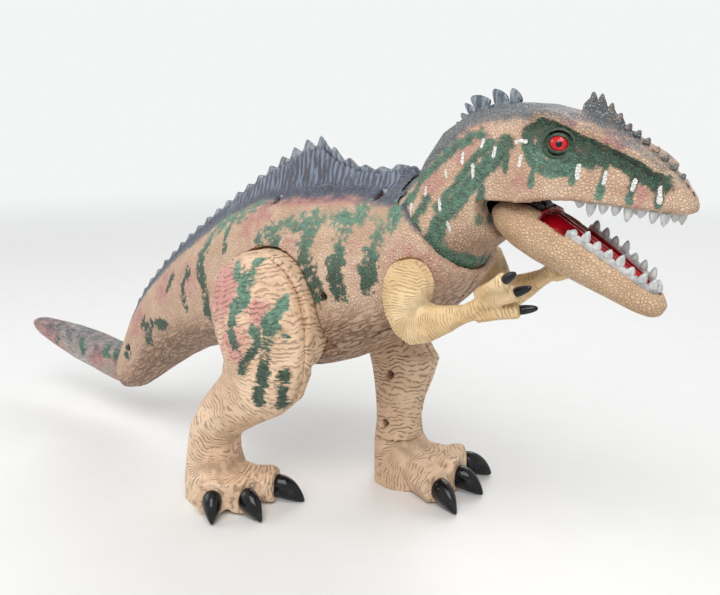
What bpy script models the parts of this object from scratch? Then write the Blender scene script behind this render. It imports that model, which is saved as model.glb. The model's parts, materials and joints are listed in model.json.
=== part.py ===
"""Walking dinosaur toy: moulded shells, nodding head, hinged jaw, swinging legs, arms and tail tip.

Metres, +Z up, the head towards +X, the figure's right side towards -Y, soles at Z = 0.
Outlines are rows of shares: each row is one cross-section, from its high point to its low
point in the X-Z plane, with the share of the width that it reaches to either side.
"""

import math

import bmesh
import bpy
import numpy as np
from mathutils import Matrix, Vector

# Main sizes
BODY_LENGTH = 0.250
BODY_HEIGHT = 0.100
BODY_WIDTH = 0.080
HIP_HEIGHT = 0.110
HIP_RADIUS = 0.0350
LEG_LENGTH = 0.100
THIGH_WIDTH = 0.034
TOE_LENGTH = 0.055
TOE_RADIUS = 0.011
ARM_LENGTH = 0.080
ARM_WIDTH = 0.012
SHOULDER_RADIUS = 0.012
HEAD_LENGTH = 0.120
HEAD_HEIGHT = 0.060
HEAD_WIDTH = 0.044
NECK_RADIUS = 0.0275
EYE_RADIUS = 0.0056
JAW_LENGTH = 0.072
JAW_DEPTH = 0.025
JAW_WIDTH = 0.033
JAW_REAR_RADIUS = 0.019
TAIL_LENGTH = 0.1205
TAIL_DEPTH = 0.030
TAIL_WIDTH = 0.024
SPIKE_HEIGHT = 0.008
SPIKE_THICKNESS = 0.0032
TOOTH_LENGTH = 0.0062
TOOTH_THICKNESS = 0.0022

# Walls and fits
WALL = 0.0022
GAP = 0.0003
RUNNING_GAP = 0.0006
PIN_GAP = 0.00008
OVERRUN = 0.004
HIP_FLOOR_ROOM = 0.00115
COLLAR_SCREW_ROOM = 0.00176

# Fasteners and pins
SCREW_RADIUS = 0.0013
SCREW_HEAD_RADIUS = 0.0026
SCREW_HEAD_HEIGHT = 0.0018
SCREW_LENGTH = 0.012
BOSS_RADIUS = 0.0044
HIP_PIN_RADIUS = 0.0030
NECK_PIN_RADIUS = 0.0025
JAW_PIN_RADIUS = 0.0016
TAIL_PIN_RADIUS = 0.0016
AXLE_RADIUS = 0.0014

# Drive
GEAR_MODULE = 0.0010
GEAR_THICKNESS = 0.0034
MOTOR_RADIUS = 0.010
MOTOR_FLAT = 0.0077
CRANK_RADIUS = 0.0078
CRANK_THROW = 0.0035
CRANK_PIN_RADIUS = 0.0018
CRANK_RISE = 0.017
PINION_TEETH = 8
WHEEL_TEETH = 18
OUTPUT_TEETH = 20

# Battery compartment and electrics
CELL_RADIUS = 0.0071
CELL_LENGTH = 0.0495
CELL_COUNT = 3
DOOR_THICKNESS = 0.0075
SWITCH_LENGTH = 0.0044
SWITCH_TRAVEL = 0.002
SPEAKER_RADIUS = 0.0105
SPEAKER_HEIGHT = 0.006
BOARD_THICKNESS = 0.0016
BOARD_LENGTH = 0.036
BOARD_WIDTH = 0.014

# Pose at rest, in degrees
JAW_OPEN_DEGREES = 25.5
RIGHT_ARM_RAISE_DEGREES = 0.0
LEFT_ARM_RAISE_DEGREES = 9.0
COLLAR_SCREW_DEGREES = 151.5
DOOR_TILT_DEGREES = 27.0

# Body: high x, high z, low x, low z, half width, from the tail joint to the neck collar
BODY_SHARES = [
    (-0.688, -0.530, -0.680, -0.845, 0.156),
    (-0.660, -0.390, -0.628, -0.815, 0.182),
    (-0.624, -0.240, -0.576, -0.735, 0.213),
    (-0.572, -0.095, -0.512, -0.630, 0.250),
    (-0.500, 0.060, -0.436, -0.515, 0.294),
    (-0.412, 0.225, -0.360, -0.420, 0.344),
    (-0.316, 0.380, -0.280, -0.355, 0.394),
    (-0.216, 0.520, -0.196, -0.325, 0.444),
    (-0.120, 0.610, -0.112, -0.325, 0.485),
    (-0.050, 0.642, -0.050, -0.332, 0.505),
    (0.000, 0.652, 0.000, -0.335, 0.512),
    (0.040, 0.660, 0.040, -0.330, 0.512),
    (0.085, 0.668, 0.090, -0.295, 0.510),
    (0.140, 0.680, 0.150, -0.240, 0.500),
    (0.190, 0.690, 0.215, -0.145, 0.483),
    (0.232, 0.712, 0.308, -0.010, 0.446),
    (0.258, 0.738, 0.384, 0.150, 0.420),
    (0.276, 0.760, 0.428, 0.300, 0.394),
]
BODY_STEPS = 1
BODY_SIDES = 16
CAVITY_SIDES = 8
BODY_UPPER_POWER = 1.75
BODY_LOWER_POWER = 2.3
BODY_WIDEST_SHARE = 0.43
CAVITY_ROWS = (3, 16)

# Ridge on the back that carries the spines: place along the body, height
RIDGE_SHARES = [
    (-0.688, 0.012),
    (-0.500, 0.020),
    (-0.240, 0.040),
    (-0.180, 0.060),
    (-0.143, 0.085),
    (-0.096, 0.105),
    (-0.050, 0.155),
    (-0.006, 0.196),
    (0.037, 0.205),
    (0.064, 0.165),
    (0.092, 0.110),
    (0.132, 0.075),
    (0.184, 0.060),
    (0.276, 0.042),
]
RIDGE_HALF_WIDTH = 0.0030

# Head and neck: high x, high z, low x, low z, half width, then how square the section is above
# and below its widest level; seen from the neck's pivot
HEAD_SHARES = [
    (-0.100, 0.280, 0.095, -0.180, 0.480, 2.1, 2.2),
    (-0.062, 0.540, 0.180, -0.195, 0.555, 2.1, 2.2),
    (0.025, 0.775, 0.233, -0.133, 0.550, 2.1, 2.2),
    (0.142, 0.918, 0.275, -0.067, 0.525, 2.2, 2.3),
    (0.250, 0.968, 0.317, 0.000, 0.505, 2.4, 2.6),
    (0.358, 1.000, 0.367, 0.100, 0.490, 2.6, 3.4),
    (0.458, 0.985, 0.450, 0.250, 0.478, 2.9, 5.0),
    (0.558, 0.935, 0.550, 0.300, 0.462, 3.2, 6.0),
    (0.658, 0.890, 0.650, 0.300, 0.420, 3.2, 6.0),
    (0.758, 0.795, 0.750, 0.288, 0.364, 3.0, 6.0),
    (0.858, 0.655, 0.850, 0.272, 0.309, 2.8, 6.0),
    (0.942, 0.500, 0.933, 0.255, 0.245, 2.6, 5.0),
    (0.988, 0.390, 0.985, 0.250, 0.160, 2.4, 4.0),
    (1.003, 0.330, 1.001, 0.268, 0.080, 2.2, 3.0),
]
HEAD_STEPS = 1
HEAD_SIDES = 14
HEAD_WIDEST_SHARE = 0.36
HEAD_CAVITY_SHARES = [
    (0.000, 0.560, 0.170, -0.080, 0.440),
    (0.060, 0.720, 0.215, 0.000, 0.430),
    (0.160, 0.830, 0.250, 0.120, 0.400),
    (0.270, 0.880, 0.300, 0.480, 0.330),
    (0.400, 0.900, 0.400, 0.530, 0.260),
    (0.560, 0.840, 0.560, 0.540, 0.190),
    (0.680, 0.780, 0.680, 0.530, 0.140),
]
HEAD_CAVITY_SIDES = 10
HEAD_CAVITY_POWER = 2.2
HEAD_CAVITY_WIDEST_SHARE = 0.45
NOSE_CREST_SHARES = [
    (0.560, 0.860, 0.560, 0.800, 0.030),
    (0.588, 1.010, 0.600, 0.800, 0.075),
    (0.622, 1.060, 0.636, 0.780, 0.085),
    (0.655, 1.040, 0.664, 0.760, 0.080),
    (0.684, 0.970, 0.690, 0.720, 0.075),
    (0.705, 0.955, 0.712, 0.700, 0.070),
    (0.740, 0.870, 0.740, 0.680, 0.050),
    (0.790, 0.780, 0.780, 0.640, 0.030),
]
NOSE_CREST_SIDES = 8
NOSE_CREST_POWER = 1.6
NOSE_CREST_WIDEST_SHARE = 0.3

# Lower jaw, closed: high x, high z, low x, low z, half width, seen from its hinge
JAW_SHARES = [
    (-0.205, -0.120, -0.205, -0.440, 0.360),
    (-0.140, 0.040, -0.140, -0.630, 0.465),
    (0.000, 0.200, 0.000, -0.755, 0.492),
    (0.167, 0.240, 0.167, -0.770, 0.492),
    (0.333, 0.220, 0.333, -0.730, 0.472),
    (0.500, 0.170, 0.515, -0.690, 0.418),
    (0.694, 0.080, 0.700, -0.640, 0.358),
    (0.847, -0.030, 0.850, -0.610, 0.282),
    (0.944, -0.150, 0.940, -0.560, 0.182),
    (0.985, -0.250, 0.980, -0.460, 0.075),
]
JAW_STEPS = 1
JAW_SIDES = 12
JAW_POWER = 2.6
JAW_WIDEST_SHARE = 0.60
JAW_BLOCK_SHARE = 0.27

# Right leg, bent back: high (front) x, z, low (back) x, z, half width, seen from the hip axis
RIGHT_LEG_SHARES = [
    (0.090, 0.304, -0.090, 0.300, 0.200),
    (0.220, 0.236, -0.220, 0.236, 0.330),
    (0.300, 0.145, -0.300, 0.145, 0.410),
    (0.338, 0.020, -0.335, 0.020, 0.460),
    (0.338, -0.118, -0.290, -0.118, 0.490),
    (0.330, -0.236, -0.225, -0.218, 0.500),
    (0.270, -0.364, -0.250, -0.309, 0.490),
    (0.130, -0.473, -0.340, -0.400, 0.470),
    (-0.040, -0.555, -0.420, -0.482, 0.450),
    (-0.170, -0.627, -0.480, -0.582, 0.440),
    (-0.210, -0.682, -0.500, -0.691, 0.440),
    (-0.205, -0.755, -0.510, -0.782, 0.470),
    (-0.170, -0.836, -0.530, -0.891, 0.520),
    (-0.160, -1.010, -0.530, -1.010, 0.520),
]
# Left leg, standing forward
LEFT_LEG_SHARES = [
    (0.090, 0.304, -0.090, 0.300, 0.200),
    (0.220, 0.236, -0.220, 0.236, 0.330),
    (0.300, 0.145, -0.300, 0.145, 0.410),
    (0.342, 0.020, -0.335, 0.020, 0.460),
    (0.362, -0.100, -0.260, -0.109, 0.490),
    (0.460, -0.209, -0.080, -0.209, 0.500),
    (0.540, -0.309, 0.080, -0.309, 0.495),
    (0.505, -0.427, 0.130, -0.418, 0.480),
    (0.460, -0.545, 0.170, -0.545, 0.450),
    (0.445, -0.655, 0.190, -0.655, 0.440),
    (0.470, -0.745, 0.180, -0.764, 0.460),
    (0.540, -0.818, 0.180, -0.882, 0.520),
    (0.550, -1.010, 0.180, -1.010, 0.520),
]
LEG_STEPS = 1
LEG_SIDES = 10
LEG_POWER = 2.1
# Heights over the floor between which the left leg leans in towards its foot
LEG_LEAN_SHARES = (0.25, 0.70)
RIGHT_LEAN_SHARE = 0.02
LEFT_LEAN_SHARE = -0.06
ANKLE_SHARE = 0.26
RIGHT_SCREW_SHARES = [(-0.35, 0.345), (-0.11, 0.545)]
LEFT_SCREW_SHARES = [(0.31, 0.345), (0.33, 0.610)]
# Hip pocket: angle below the axis in degrees, share of the pocket's radius, front then rear
HIP_FRONT_SHARES = [(-30.0, 1.700), (-20.0, 1.250), (-14.0, 1.090), (-8.0, 1.035), (2.0, 1.010)]
HIP_REAR_SHARES = [(188.0, 1.000), (200.0, 1.060), (212.0, 1.250)]
HIP_ARC_DEGREES = (14.0, 178.0)
HIP_ARC_STEPS = 12
# Toes: turn away from straight ahead (outwards is positive) in degrees, share of the toe length
RIGHT_TOES = [(46.0, 0.74), (11.0, 0.88), (-27.0, 1.00)]
LEFT_TOES = [(43.0, 1.02), (10.0, 0.96), (-23.0, 1.04)]
RIGHT_FOOT_SHARE = -0.36
LEFT_FOOT_SHARE = 0.36
# Toe: way along it, middle height, half height, half width, the last three in toe radii
TOE_SHARES = [
    (0.02, 1.10, 1.25, 1.05),
    (0.25, 1.00, 1.15, 0.95),
    (0.45, 0.88, 0.98, 0.90),
    (0.60, 0.92, 0.98, 0.98),
    (0.66, 0.92, 0.94, 0.98),
]
CLAW_SHARES = [
    (0.60, 0.88, 0.66, 0.60),
    (0.70, 0.88, 0.66, 0.56),
    (0.80, 0.72, 0.56, 0.44),
    (0.88, 0.46, 0.38, 0.28),
    (0.93, 0.20, 0.14, 0.10),
]

# Arm: high x, z, low x, z, half width, seen from the shoulder axis
ARM_SHARES = [
    (0.040, 0.144, -0.060, 0.122, 0.300),
    (0.118, 0.092, -0.134, 0.040, 0.440),
    (0.145, 0.005, -0.152, -0.065, 0.490),
    (0.165, -0.068, -0.125, -0.180, 0.500),
    (0.205, -0.078, -0.055, -0.290, 0.500),
    (0.265, -0.070, 0.055, -0.345, 0.490),
    (0.320, -0.062, 0.180, -0.308, 0.470),
    (0.395, -0.048, 0.305, -0.232, 0.450),
    (0.480, 0.002, 0.402, -0.165, 0.440),
    (0.545, 0.060, 0.500, -0.120, 0.430),
]
ARM_STEPS = 1
ARM_SIDES = 8
ARM_POWER = 2.3
# Fingers: start x, z, end x, z, sideways places of start and end, in shares of the arm's sizes
FINGER_SHARES = [
    (0.500, 0.010, 0.690, 0.135, 0.00, 0.09),
    (0.490, -0.040, 0.704, 0.055, 0.00, 0.00),
    (0.480, -0.095, 0.690, -0.055, 0.00, -0.08),
]
FINGER_RADIUS = 0.0040
FINGER_CLAW_LENGTH = 0.0100

# Tail tip: way back from its joint, middle height, half height, half width
TAIL_TIP_SHARES = [
    (0.049, 0.005, 0.440, 0.440),
    (0.090, 0.015, 0.474, 0.500),
    (0.190, 0.070, 0.472, 0.490),
    (0.310, 0.143, 0.467, 0.470),
    (0.516, 0.223, 0.437, 0.420),
    (0.720, 0.310, 0.343, 0.350),
    (0.880, 0.385, 0.260, 0.270),
    (0.960, 0.412, 0.170, 0.180),
    (1.000, 0.420, 0.060, 0.060),
]
TAIL_SIDES = 12
TAIL_POWER = 2.1
TAIL_ROOT_SHARES = (0.42, 0.39)
TAIL_RIM_SHARE = 0.029
TAIL_PIN_SHARE = 0.465

# Gum lines in plan, from the rear to the front middle: way along, half width
UPPER_GUM_SHARES = [
    (0.420, 0.340),
    (0.558, 0.370),
    (0.658, 0.355),
    (0.758, 0.300),
    (0.858, 0.250),
    (0.925, 0.200),
    (0.958, 0.120),
    (0.968, 0.000),
]
LOWER_GUM_SHARES = [
    (0.100, 0.425),
    (0.333, 0.405),
    (0.500, 0.350),
    (0.694, 0.290),
    (0.820, 0.220),
    (0.895, 0.130),
    (0.915, 0.000),
]
GUM_STEPS = 1
LIP_POWER = 5.0
RIM_LIMIT_SHARE = 0.95
UPPER_TEETH = 19
LOWER_TEETH = 17
TONGUE_POINTS = 16
PALATE_RISE_SHARE = 0.43
LIP_SHARE = 0.285
JAW_FLOOR_SHARE = -0.30
TONGUE_RISE_SHARE = -0.06
# Spike heights along the back and the nape: place, share of the spike height
BACK_SPIKE_SHARES = [
    (-0.680, 0.30),
    (-0.400, 0.42),
    (-0.200, 0.45),
    (-0.100, 0.60),
    (0.037, 0.90),
    (0.085, 0.75),
    (0.130, 0.45),
    (0.276, 0.35),
]
NAPE_SPIKE_SHARES = [
    (-0.060, 0.50),
    (0.020, 0.65),
    (0.080, 1.15),
    (0.200, 1.00),
    (0.340, 0.85),
]
BACK_SPIKES = 26
NAPE_SPIKES = 10
BACK_STRIP_SHARES = (-0.655, 0.255)
NAPE_STRIP_SHARES = (-0.055, 0.335)
SPIKE_LEAN_SHARE = 0.35
SPIKE_POINT_SHARE = 0.35
STRIP_FOOT = 0.0022

# Places
NECK_PLACE_SHARES = (0.336, 0.500)
SHOULDER_PLACE_SHARES = (0.352, 0.270)
ARM_FACE_SHARE = 0.395
TAIL_JOINT_SHARES = (-0.674, -0.690)
JAW_PLACE_SHARES = (0.417, 0.200)
EYE_PLACE_SHARES = (0.560, 0.700, 0.352)
BATTERY_PLACE_SHARES = (0.172, -0.205)
SWITCH_PLACE_SHARE = -0.060
SPEAKER_PLACE_SHARE = -0.168
# Body screws on the right flank, apart from the one beside the collar
SCREW_PLACE_SHARES = [
    (-0.058, 0.580),
    (0.157, 0.155),
    (-0.600, -0.490),
]
SCREW_SEAT_SHARE = 0.085
SCREW_SIDES = 6
DOOR_AHEAD_SHARE = 2.5
SCREW_POINT_SHARE = 0.4

# Shares of the small sizes of one piece
MIDDLE_SHARE = 0.5
PEG_END_SHARE = 0.75
HIP_BORE_SHARE = 4.4
HIP_PIN_FLANGE_SHARES = [(0.0, 1.7), (0.5, 2.0), (1.0, 2.0), (1.0, 1.0)]
LEG_INSIDE_SHARE = 0.6
CRANK_RECESS_SHARE = 0.3
CRANK_PIN_SHARE = 1.5
JAW_PIN_SHARE = 0.40
JAW_POCKET_SHARE = 0.8
JAW_BLOCK_RISE_SHARE = 0.9
UPPER_TEETH_SHARE = 0.62
LOWER_TEETH_SHARE = 0.30
TOOTH_POINT_SHARE = 0.3
TONGUE_START_SHARE = 0.12
# Tongue: height over its floor, size of its plan
TONGUE_SHARES = [(0.0, 1.0), (0.7, 0.98), (1.0, 0.84)]
FINGER_WAIST_SHARE = 0.9
# Finger claw: way ahead and way down in claw lengths, radius in finger radii
FINGER_CLAW_SHARES = [(-0.25, 0.0, 0.62), (0.4, 0.02, 0.5), (0.85, 0.12, 0.12)]
# Gear tooth: root and tip in modules from the pitch circle, half widths in tooth steps
GEAR_ROOT_SHARE = 1.1
GEAR_TIP_SHARE = 0.8
GEAR_ROOT_WIDTH_SHARE = 0.29
GEAR_TIP_WIDTH_SHARE = 0.11
MOTOR_SHAFT_SHARE = 0.7
CELL_NUB_SHARES = (0.143, 0.38)
# Loudspeaker: height, radius
SPEAKER_SHARES = [(0.0, 1.0), (0.25, 1.0), (0.55, 0.7), (0.55, 0.5), (0.9, 0.5)]
CHIP_SHARES = (0.2, 0.5, 0.8)
POST_SHARES = [(-0.072, 0.270), (-0.118, 0.075)]

TAN = (0.72, 0.50, 0.34)
ARM_TAN = (0.74, 0.58, 0.32)
SMOKE = (0.24, 0.29, 0.34)


# Meshes


def new_object(name, bm):
    """Puts a bmesh into the scene as an object with its faces pointing out."""
    bmesh.ops.recalc_face_normals(bm, faces=bm.faces)
    mesh = bpy.data.meshes.new(name)
    bm.to_mesh(mesh)
    bm.free()
    made = bpy.data.objects.new(name, mesh)
    bpy.context.scene.collection.objects.link(made)
    return made


def loft(name, rings):
    """Closed solid through rings of equal counts, flat at both ends."""
    bm = bmesh.new()
    loops = [[bm.verts.new(point) for point in ring] for ring in rings]
    count = len(loops[0])
    for one, two in zip(loops, loops[1:]):
        for i in range(count):
            j = (i + 1) % count
            bm.faces.new((one[i], one[j], two[j], two[i]))
    bm.faces.new(loops[0])
    bm.faces.new(reversed(loops[-1]))
    return new_object(name, bm)


def prism(name, outline, low_y, high_y):
    """Solid between two values of y from an outline of x, z places."""
    return loft(name, [[Vector((x, y, z)) for x, z in outline] for y in (low_y, high_y)])


def turned(name, profile, origin, axis, sides):
    """Solid of revolution: profile rows are way along the axis and radius."""
    axis = Vector(axis).normalized()
    across = axis.orthogonal().normalized()
    other = axis.cross(across)
    rings = []
    for along, radius in profile:
        ring = []
        for i in range(sides):
            turn = math.tau * (i + 0.5) / sides
            offset = across * math.cos(turn) + other * math.sin(turn)
            ring.append(Vector(origin) + axis * along + offset * radius)
        rings.append(ring)
    return loft(name, rings)


def cylinder(name, radius, start, end, sides=20):
    start = Vector(start)
    way = Vector(end) - start
    return turned(name, [(0, radius), (way.length, radius)], start, way, sides)


def sphere(name, radius, centre, sides=20, rows=8):
    profile = [(-radius * math.cos(math.pi * (i + 0.5) / rows), radius * math.sin(math.pi * (i + 0.5) / rows))
               for i in range(rows)]
    return turned(name, profile, centre, (0, 1, 0), sides)


def box(name, low, high):
    corners = [(low[0], low[2]), (high[0], low[2]), (high[0], high[2]), (low[0], high[2])]
    return prism(name, corners, low[1], high[1])


def combine(target, tool, operation="DIFFERENCE"):
    """Cuts, joins or trims the target with the tool, which goes away."""
    step = target.modifiers.new("combine", "BOOLEAN")
    step.operation = operation
    step.solver = "EXACT"
    step.object = tool
    bpy.context.view_layer.update()
    graph = bpy.context.evaluated_depsgraph_get()
    result = bpy.data.meshes.new_from_object(target.evaluated_get(graph))
    target.modifiers.clear()
    old = target.data
    target.data = result
    bpy.data.meshes.remove(old)
    bpy.data.objects.remove(tool)
    return target


def copy_of(source, name):
    made = source.copy()
    made.data = source.data.copy()
    made.name = name
    bpy.context.scene.collection.objects.link(made)
    return made


def moved(target, matrix):
    target.data.transform(matrix)
    return target


def kept_side(target, side, reach, at=0.0):
    """Keeps what lies on one side of a plane of constant y, with half a seam's gap."""
    inner = at + side * GAP / 2
    low = (-reach, min(inner, side * reach), -reach)
    high = (reach, max(inner, side * reach), reach)
    return combine(target, box("side", low, high), "INTERSECT")


def smooth_rows(rows, steps):
    """Rows with more rows between them, along a curve through them all."""
    rows = np.array(rows, float)
    padded = np.vstack([2 * rows[0] - rows[1], rows, 2 * rows[-1] - rows[-2]])
    out = []
    for before, here, after, beyond in zip(padded, padded[1:], padded[2:], padded[3:]):
        for k in range(steps):
            t = k / steps
            bend = 2 * before - 5 * here + 4 * after - beyond
            twist = 3 * here - before - 3 * after + beyond
            out.append(0.5 * (2 * here + (after - before) * t + bend * t ** 2 + twist * t ** 3))
    out.append(rows[-1])
    return out


def section(high, low, half_width, middle_y, sides, upper, lower, widest):
    """Rounded ring between a high and a low point of a plane square to X-Z."""
    centre = low + (high - low) * widest
    ring = []
    for i in range(sides):
        angle = math.tau * (i + 0.5) / sides - math.pi / 2
        rise = math.sin(angle)
        across = math.cos(angle)
        power = upper if rise > 0 else lower
        reach = high - centre if rise > 0 else centre - low
        up = math.copysign(abs(rise) ** (2 / power), rise)
        out = math.copysign(abs(across) ** (2 / power), across)
        place = centre + reach * up
        ring.append(Vector((place[0], middle_y + half_width * out, place[1])))
    return ring


def upright(rows, origin, length, height):
    """Turns share rows into high points, low points and the remaining share columns."""
    out = []
    for row in rows:
        high = np.array((origin.x + row[0] * length, origin.z + row[1] * height))
        low = np.array((origin.x + row[2] * length, origin.z + row[3] * height))
        out.append((high, low, row[4:]))
    return out


def skin_level(rows, place, sizes, widest, power, top):
    """Height of a lofted piece's skin over or under a place in plan."""
    length, height, width = sizes
    columns = list(zip(*rows))
    x = place.x / length
    xs = columns[0] if top else columns[2]
    high, low, wide = (np.interp(x, xs, columns[k]) for k in (1, 3, 4))
    centre = low + (high - low) * widest
    out = min(abs(place.y) / (wide * width), RIM_LIMIT_SHARE)
    rise = (1 - out ** power) ** (1 / power)
    return height * (centre + ((high if top else low) - centre) * rise)


def spiked_strip(name, path, outward, thickness, feet, tips):
    """Strip with a spike at every second place: path of seats, outward ways, foot depths, tip heights."""
    rings = []
    for seat, way, side, foot, tip in zip(path, outward, thickness, feet, tips):
        half = side / 2
        point = half if tip[1] == 0 else half * tip[1]
        low = seat - way * foot
        top = seat + way * tip[0] + tip[2]
        rings.append([low - half, low + half, seat + half, top + point, top - point, seat - half])
    return loft(name, rings)


# Materials


def plastic(name, colour, roughness, alpha=1.0):
    made = bpy.data.materials.new(name)
    made.use_nodes = True
    shader = made.node_tree.nodes["Principled BSDF"]
    shader.inputs["Base Color"].default_value = (*colour, 1)
    shader.inputs["Roughness"].default_value = roughness
    shader.inputs["Alpha"].default_value = alpha
    made.diffuse_color = (*colour, 1)
    return made


def metal(name, colour, roughness):
    made = plastic(name, colour, roughness)
    made.node_tree.nodes["Principled BSDF"].inputs["Metallic"].default_value = 1
    return made


def finished(made, name, material):
    """Names the object, gives it its own material and shades its round faces smooth."""
    made.name = name
    made.data.name = name
    made.data.materials.clear()
    made.data.materials.append(material)
    made.data.shade_smooth()
    made.data.set_sharp_from_angle(angle=math.radians(35))
    return made


# Places worked out from the sizes


def body_place(shares, y=0.0):
    return Vector((shares[0] * BODY_LENGTH, y, HIP_HEIGHT + shares[1] * BODY_HEIGHT))


def head_place(shares, y=0.0):
    return NECK + Vector((shares[0] * HEAD_LENGTH, y, shares[1] * HEAD_HEIGHT))


TRAY_HALF_LENGTH = CELL_LENGTH / 2 + BOARD_THICKNESS + WALL / 2 + 2 * GAP
TRAY_HALF_WIDTH = CELL_COUNT * (CELL_RADIUS + GAP / 2) + GAP + WALL / 2
TRAY_LOW = DOOR_THICKNESS + GAP
TRAY_HIGH = TRAY_LOW + 2 * CELL_RADIUS + 2 * GAP + WALL / 2
DOOR_AHEAD = DOOR_AHEAD_SHARE * SCREW_HEAD_RADIUS
HIP = Vector((0, 0, HIP_HEIGHT))
HIP_FLOOR = TRAY_HALF_WIDTH + GAP + WALL + HIP_FLOOR_ROOM
LEG_FACE = HIP_FLOOR + GAP
LEG_MIDDLE = LEG_FACE + THIGH_WIDTH / 2
NECK = body_place(NECK_PLACE_SHARES)
SHOULDER = body_place(SHOULDER_PLACE_SHARES)
ARM_FACE = ARM_FACE_SHARE * BODY_WIDTH
ARM_FLOOR = ARM_FACE - SHOULDER_RADIUS / 5
TAIL_JOINT = body_place(TAIL_JOINT_SHARES)
JAW_HINGE = head_place(JAW_PLACE_SHARES)
EYE = head_place(EYE_PLACE_SHARES[:2], EYE_PLACE_SHARES[2] * HEAD_WIDTH)
CRANK = HIP + Vector((0, 0, CRANK_RISE))
PEG_RADIUS = SHOULDER_RADIUS / 3
HIP_BORE_DEPTH = HIP_BORE_SHARE * HIP_PIN_RADIUS
CRANK_RECESS = CRANK_THROW + CRANK_PIN_RADIUS + CRANK_RECESS_SHARE * CRANK_RISE
JAW_POCKET = JAW_WIDTH / 2 + RUNNING_GAP
JAW_BLOCK = 3 * JAW_PIN_RADIUS
SWITCH_HALF_LENGTH = SWITCH_LENGTH / 2 + 2 * SWITCH_TRAVEL + WALL
SWITCH_HALF_WIDTH = SWITCH_LENGTH / 2 + WALL
SWITCH_X = SWITCH_PLACE_SHARE * BODY_LENGTH
SPEAKER_X = SPEAKER_PLACE_SHARE * BODY_LENGTH
SECOND_AXLE = CRANK - Vector((GEAR_MODULE * (OUTPUT_TEETH + PINION_TEETH) / 2, 0, 0))
FIRST_AXLE = SECOND_AXLE - Vector((GEAR_MODULE * (WHEEL_TEETH + PINION_TEETH) / 2, 0, 0))
MOTOR_AXIS = FIRST_AXLE - Vector((GEAR_MODULE * (WHEEL_TEETH + PINION_TEETH) / 2, 0, 0))
GEARBOX_HALF_HEIGHT = GEAR_MODULE * (OUTPUT_TEETH / 2 + 1) + 2 * GAP + WALL
GEARBOX_FRONT = CRANK.x + GEARBOX_HALF_HEIGHT
GEARBOX_REAR = MOTOR_AXIS.x - MOTOR_RADIUS - WALL
GEARBOX_TOP = CRANK.z + GEARBOX_HALF_HEIGHT
REACH = BODY_LENGTH * 2


# Body shells


def body_rings(rows, inset, sides, ridge):
    """Rings of the trunk, drawn in by an inset, with or without the ridge on the back."""
    rings = []
    for high, low, rest in upright(rows, HIP, BODY_LENGTH, BODY_HEIGHT):
        way = (high - low) / np.linalg.norm(high - low)
        ring = section(high - way * inset, low + way * inset, rest[0] * BODY_WIDTH - inset, 0, sides,
                       BODY_UPPER_POWER, BODY_LOWER_POWER, BODY_WIDEST_SHARE)
        if ridge:
            top = high + way * ridge_height(high[0])
            half = min(RIDGE_HALF_WIDTH, rest[0] * BODY_WIDTH / 3)
            middle = sides // 2
            ring[middle:middle] = [Vector((top[0], half, top[1])), Vector((top[0], -half, top[1]))]
        rings.append(ring)
    return rings


def ridge_height(x):
    places, heights = zip(*RIDGE_SHARES)
    return np.interp(x / BODY_LENGTH, places, heights) * BODY_HEIGHT


def crest_line():
    """Points along the ridge's top with the way out of the back there."""
    line = []
    for high, low, _ in upright(smooth_rows(BODY_SHARES, BODY_STEPS), HIP, BODY_LENGTH, BODY_HEIGHT):
        way = (high - low) / np.linalg.norm(high - low)
        line.append((high + way * ridge_height(high[0]), way))
    return line


def nape_line():
    line = []
    for high, low, _ in upright(smooth_rows(HEAD_SHARES, HEAD_STEPS), NECK, HEAD_LENGTH, HEAD_HEIGHT):
        line.append((high, (high - low) / np.linalg.norm(high - low)))
    return line


def spread(line, first_x, last_x, count):
    """Evenly spaced seats along a line of points, between two values of x, with ways out."""
    points = np.array([point for point, _ in line])
    ways = np.array([way for _, way in line])
    lengths = np.concatenate([[0], np.cumsum(np.linalg.norm(np.diff(points, axis=0), axis=1))])
    first, last = np.interp([first_x, last_x], points[:, 0], lengths)
    seats, outs = [], []
    for along in np.linspace(first, last, count):
        x, z = (np.interp(along, lengths, points[:, k]) for k in (0, 1))
        out = Vector((np.interp(along, lengths, ways[:, 0]), 0, np.interp(along, lengths, ways[:, 1])))
        seats.append(Vector((x, 0, z)))
        outs.append(out.normalized())
    return seats, outs


def strip_slot(line, first_x, last_x):
    """Cutter for the slot in which a spine strip stands."""
    xs, zs = zip(*(point for point, _ in line))
    outs_x, outs_z = zip(*(way for _, way in line))
    half = Vector((0, SPIKE_THICKNESS / 2 + GAP, 0))
    rings = []
    for x in [first_x - GAP, *(place for place in xs if first_x < place < last_x), last_x + GAP]:
        seat = Vector((x, 0, np.interp(x, xs, zs)))
        out = Vector((np.interp(x, xs, outs_x), 0, np.interp(x, xs, outs_z))).normalized()
        low, high = seat - out * (STRIP_FOOT + 2 * GAP), seat + out * OVERRUN
        rings.append([low - half, low + half, high + half, high - half])
    return loft("slot", rings)


def spine_strip(name, line, first_x, last_x, count, height_at):
    """Strip of spikes leaning back, standing in its slot."""
    seats, outs = spread(line, first_x, last_x, 2 * count + 1)
    side = Vector((0, SPIKE_THICKNESS, 0))
    tips = []
    for i, seat in enumerate(seats):
        height = height_at(seat.x)
        spike = i % 2 == 1
        lean = Vector((-SPIKE_LEAN_SHARE * height, 0, 0)) if spike else Vector()
        tips.append((height if spike else SPIKE_HEIGHT / 10, SPIKE_POINT_SHARE if spike else 1, lean))
    return spiked_strip(name, seats, outs, [side] * len(seats), [STRIP_FOOT] * len(seats), tips)


def back_spike_height(x):
    return np.interp(x / BODY_LENGTH, *zip(*BACK_SPIKE_SHARES)) * SPIKE_HEIGHT


def nape_spike_height(x):
    return np.interp((x - NECK.x) / HEAD_LENGTH, *zip(*NAPE_SPIKE_SHARES)) * SPIKE_HEIGHT


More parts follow.
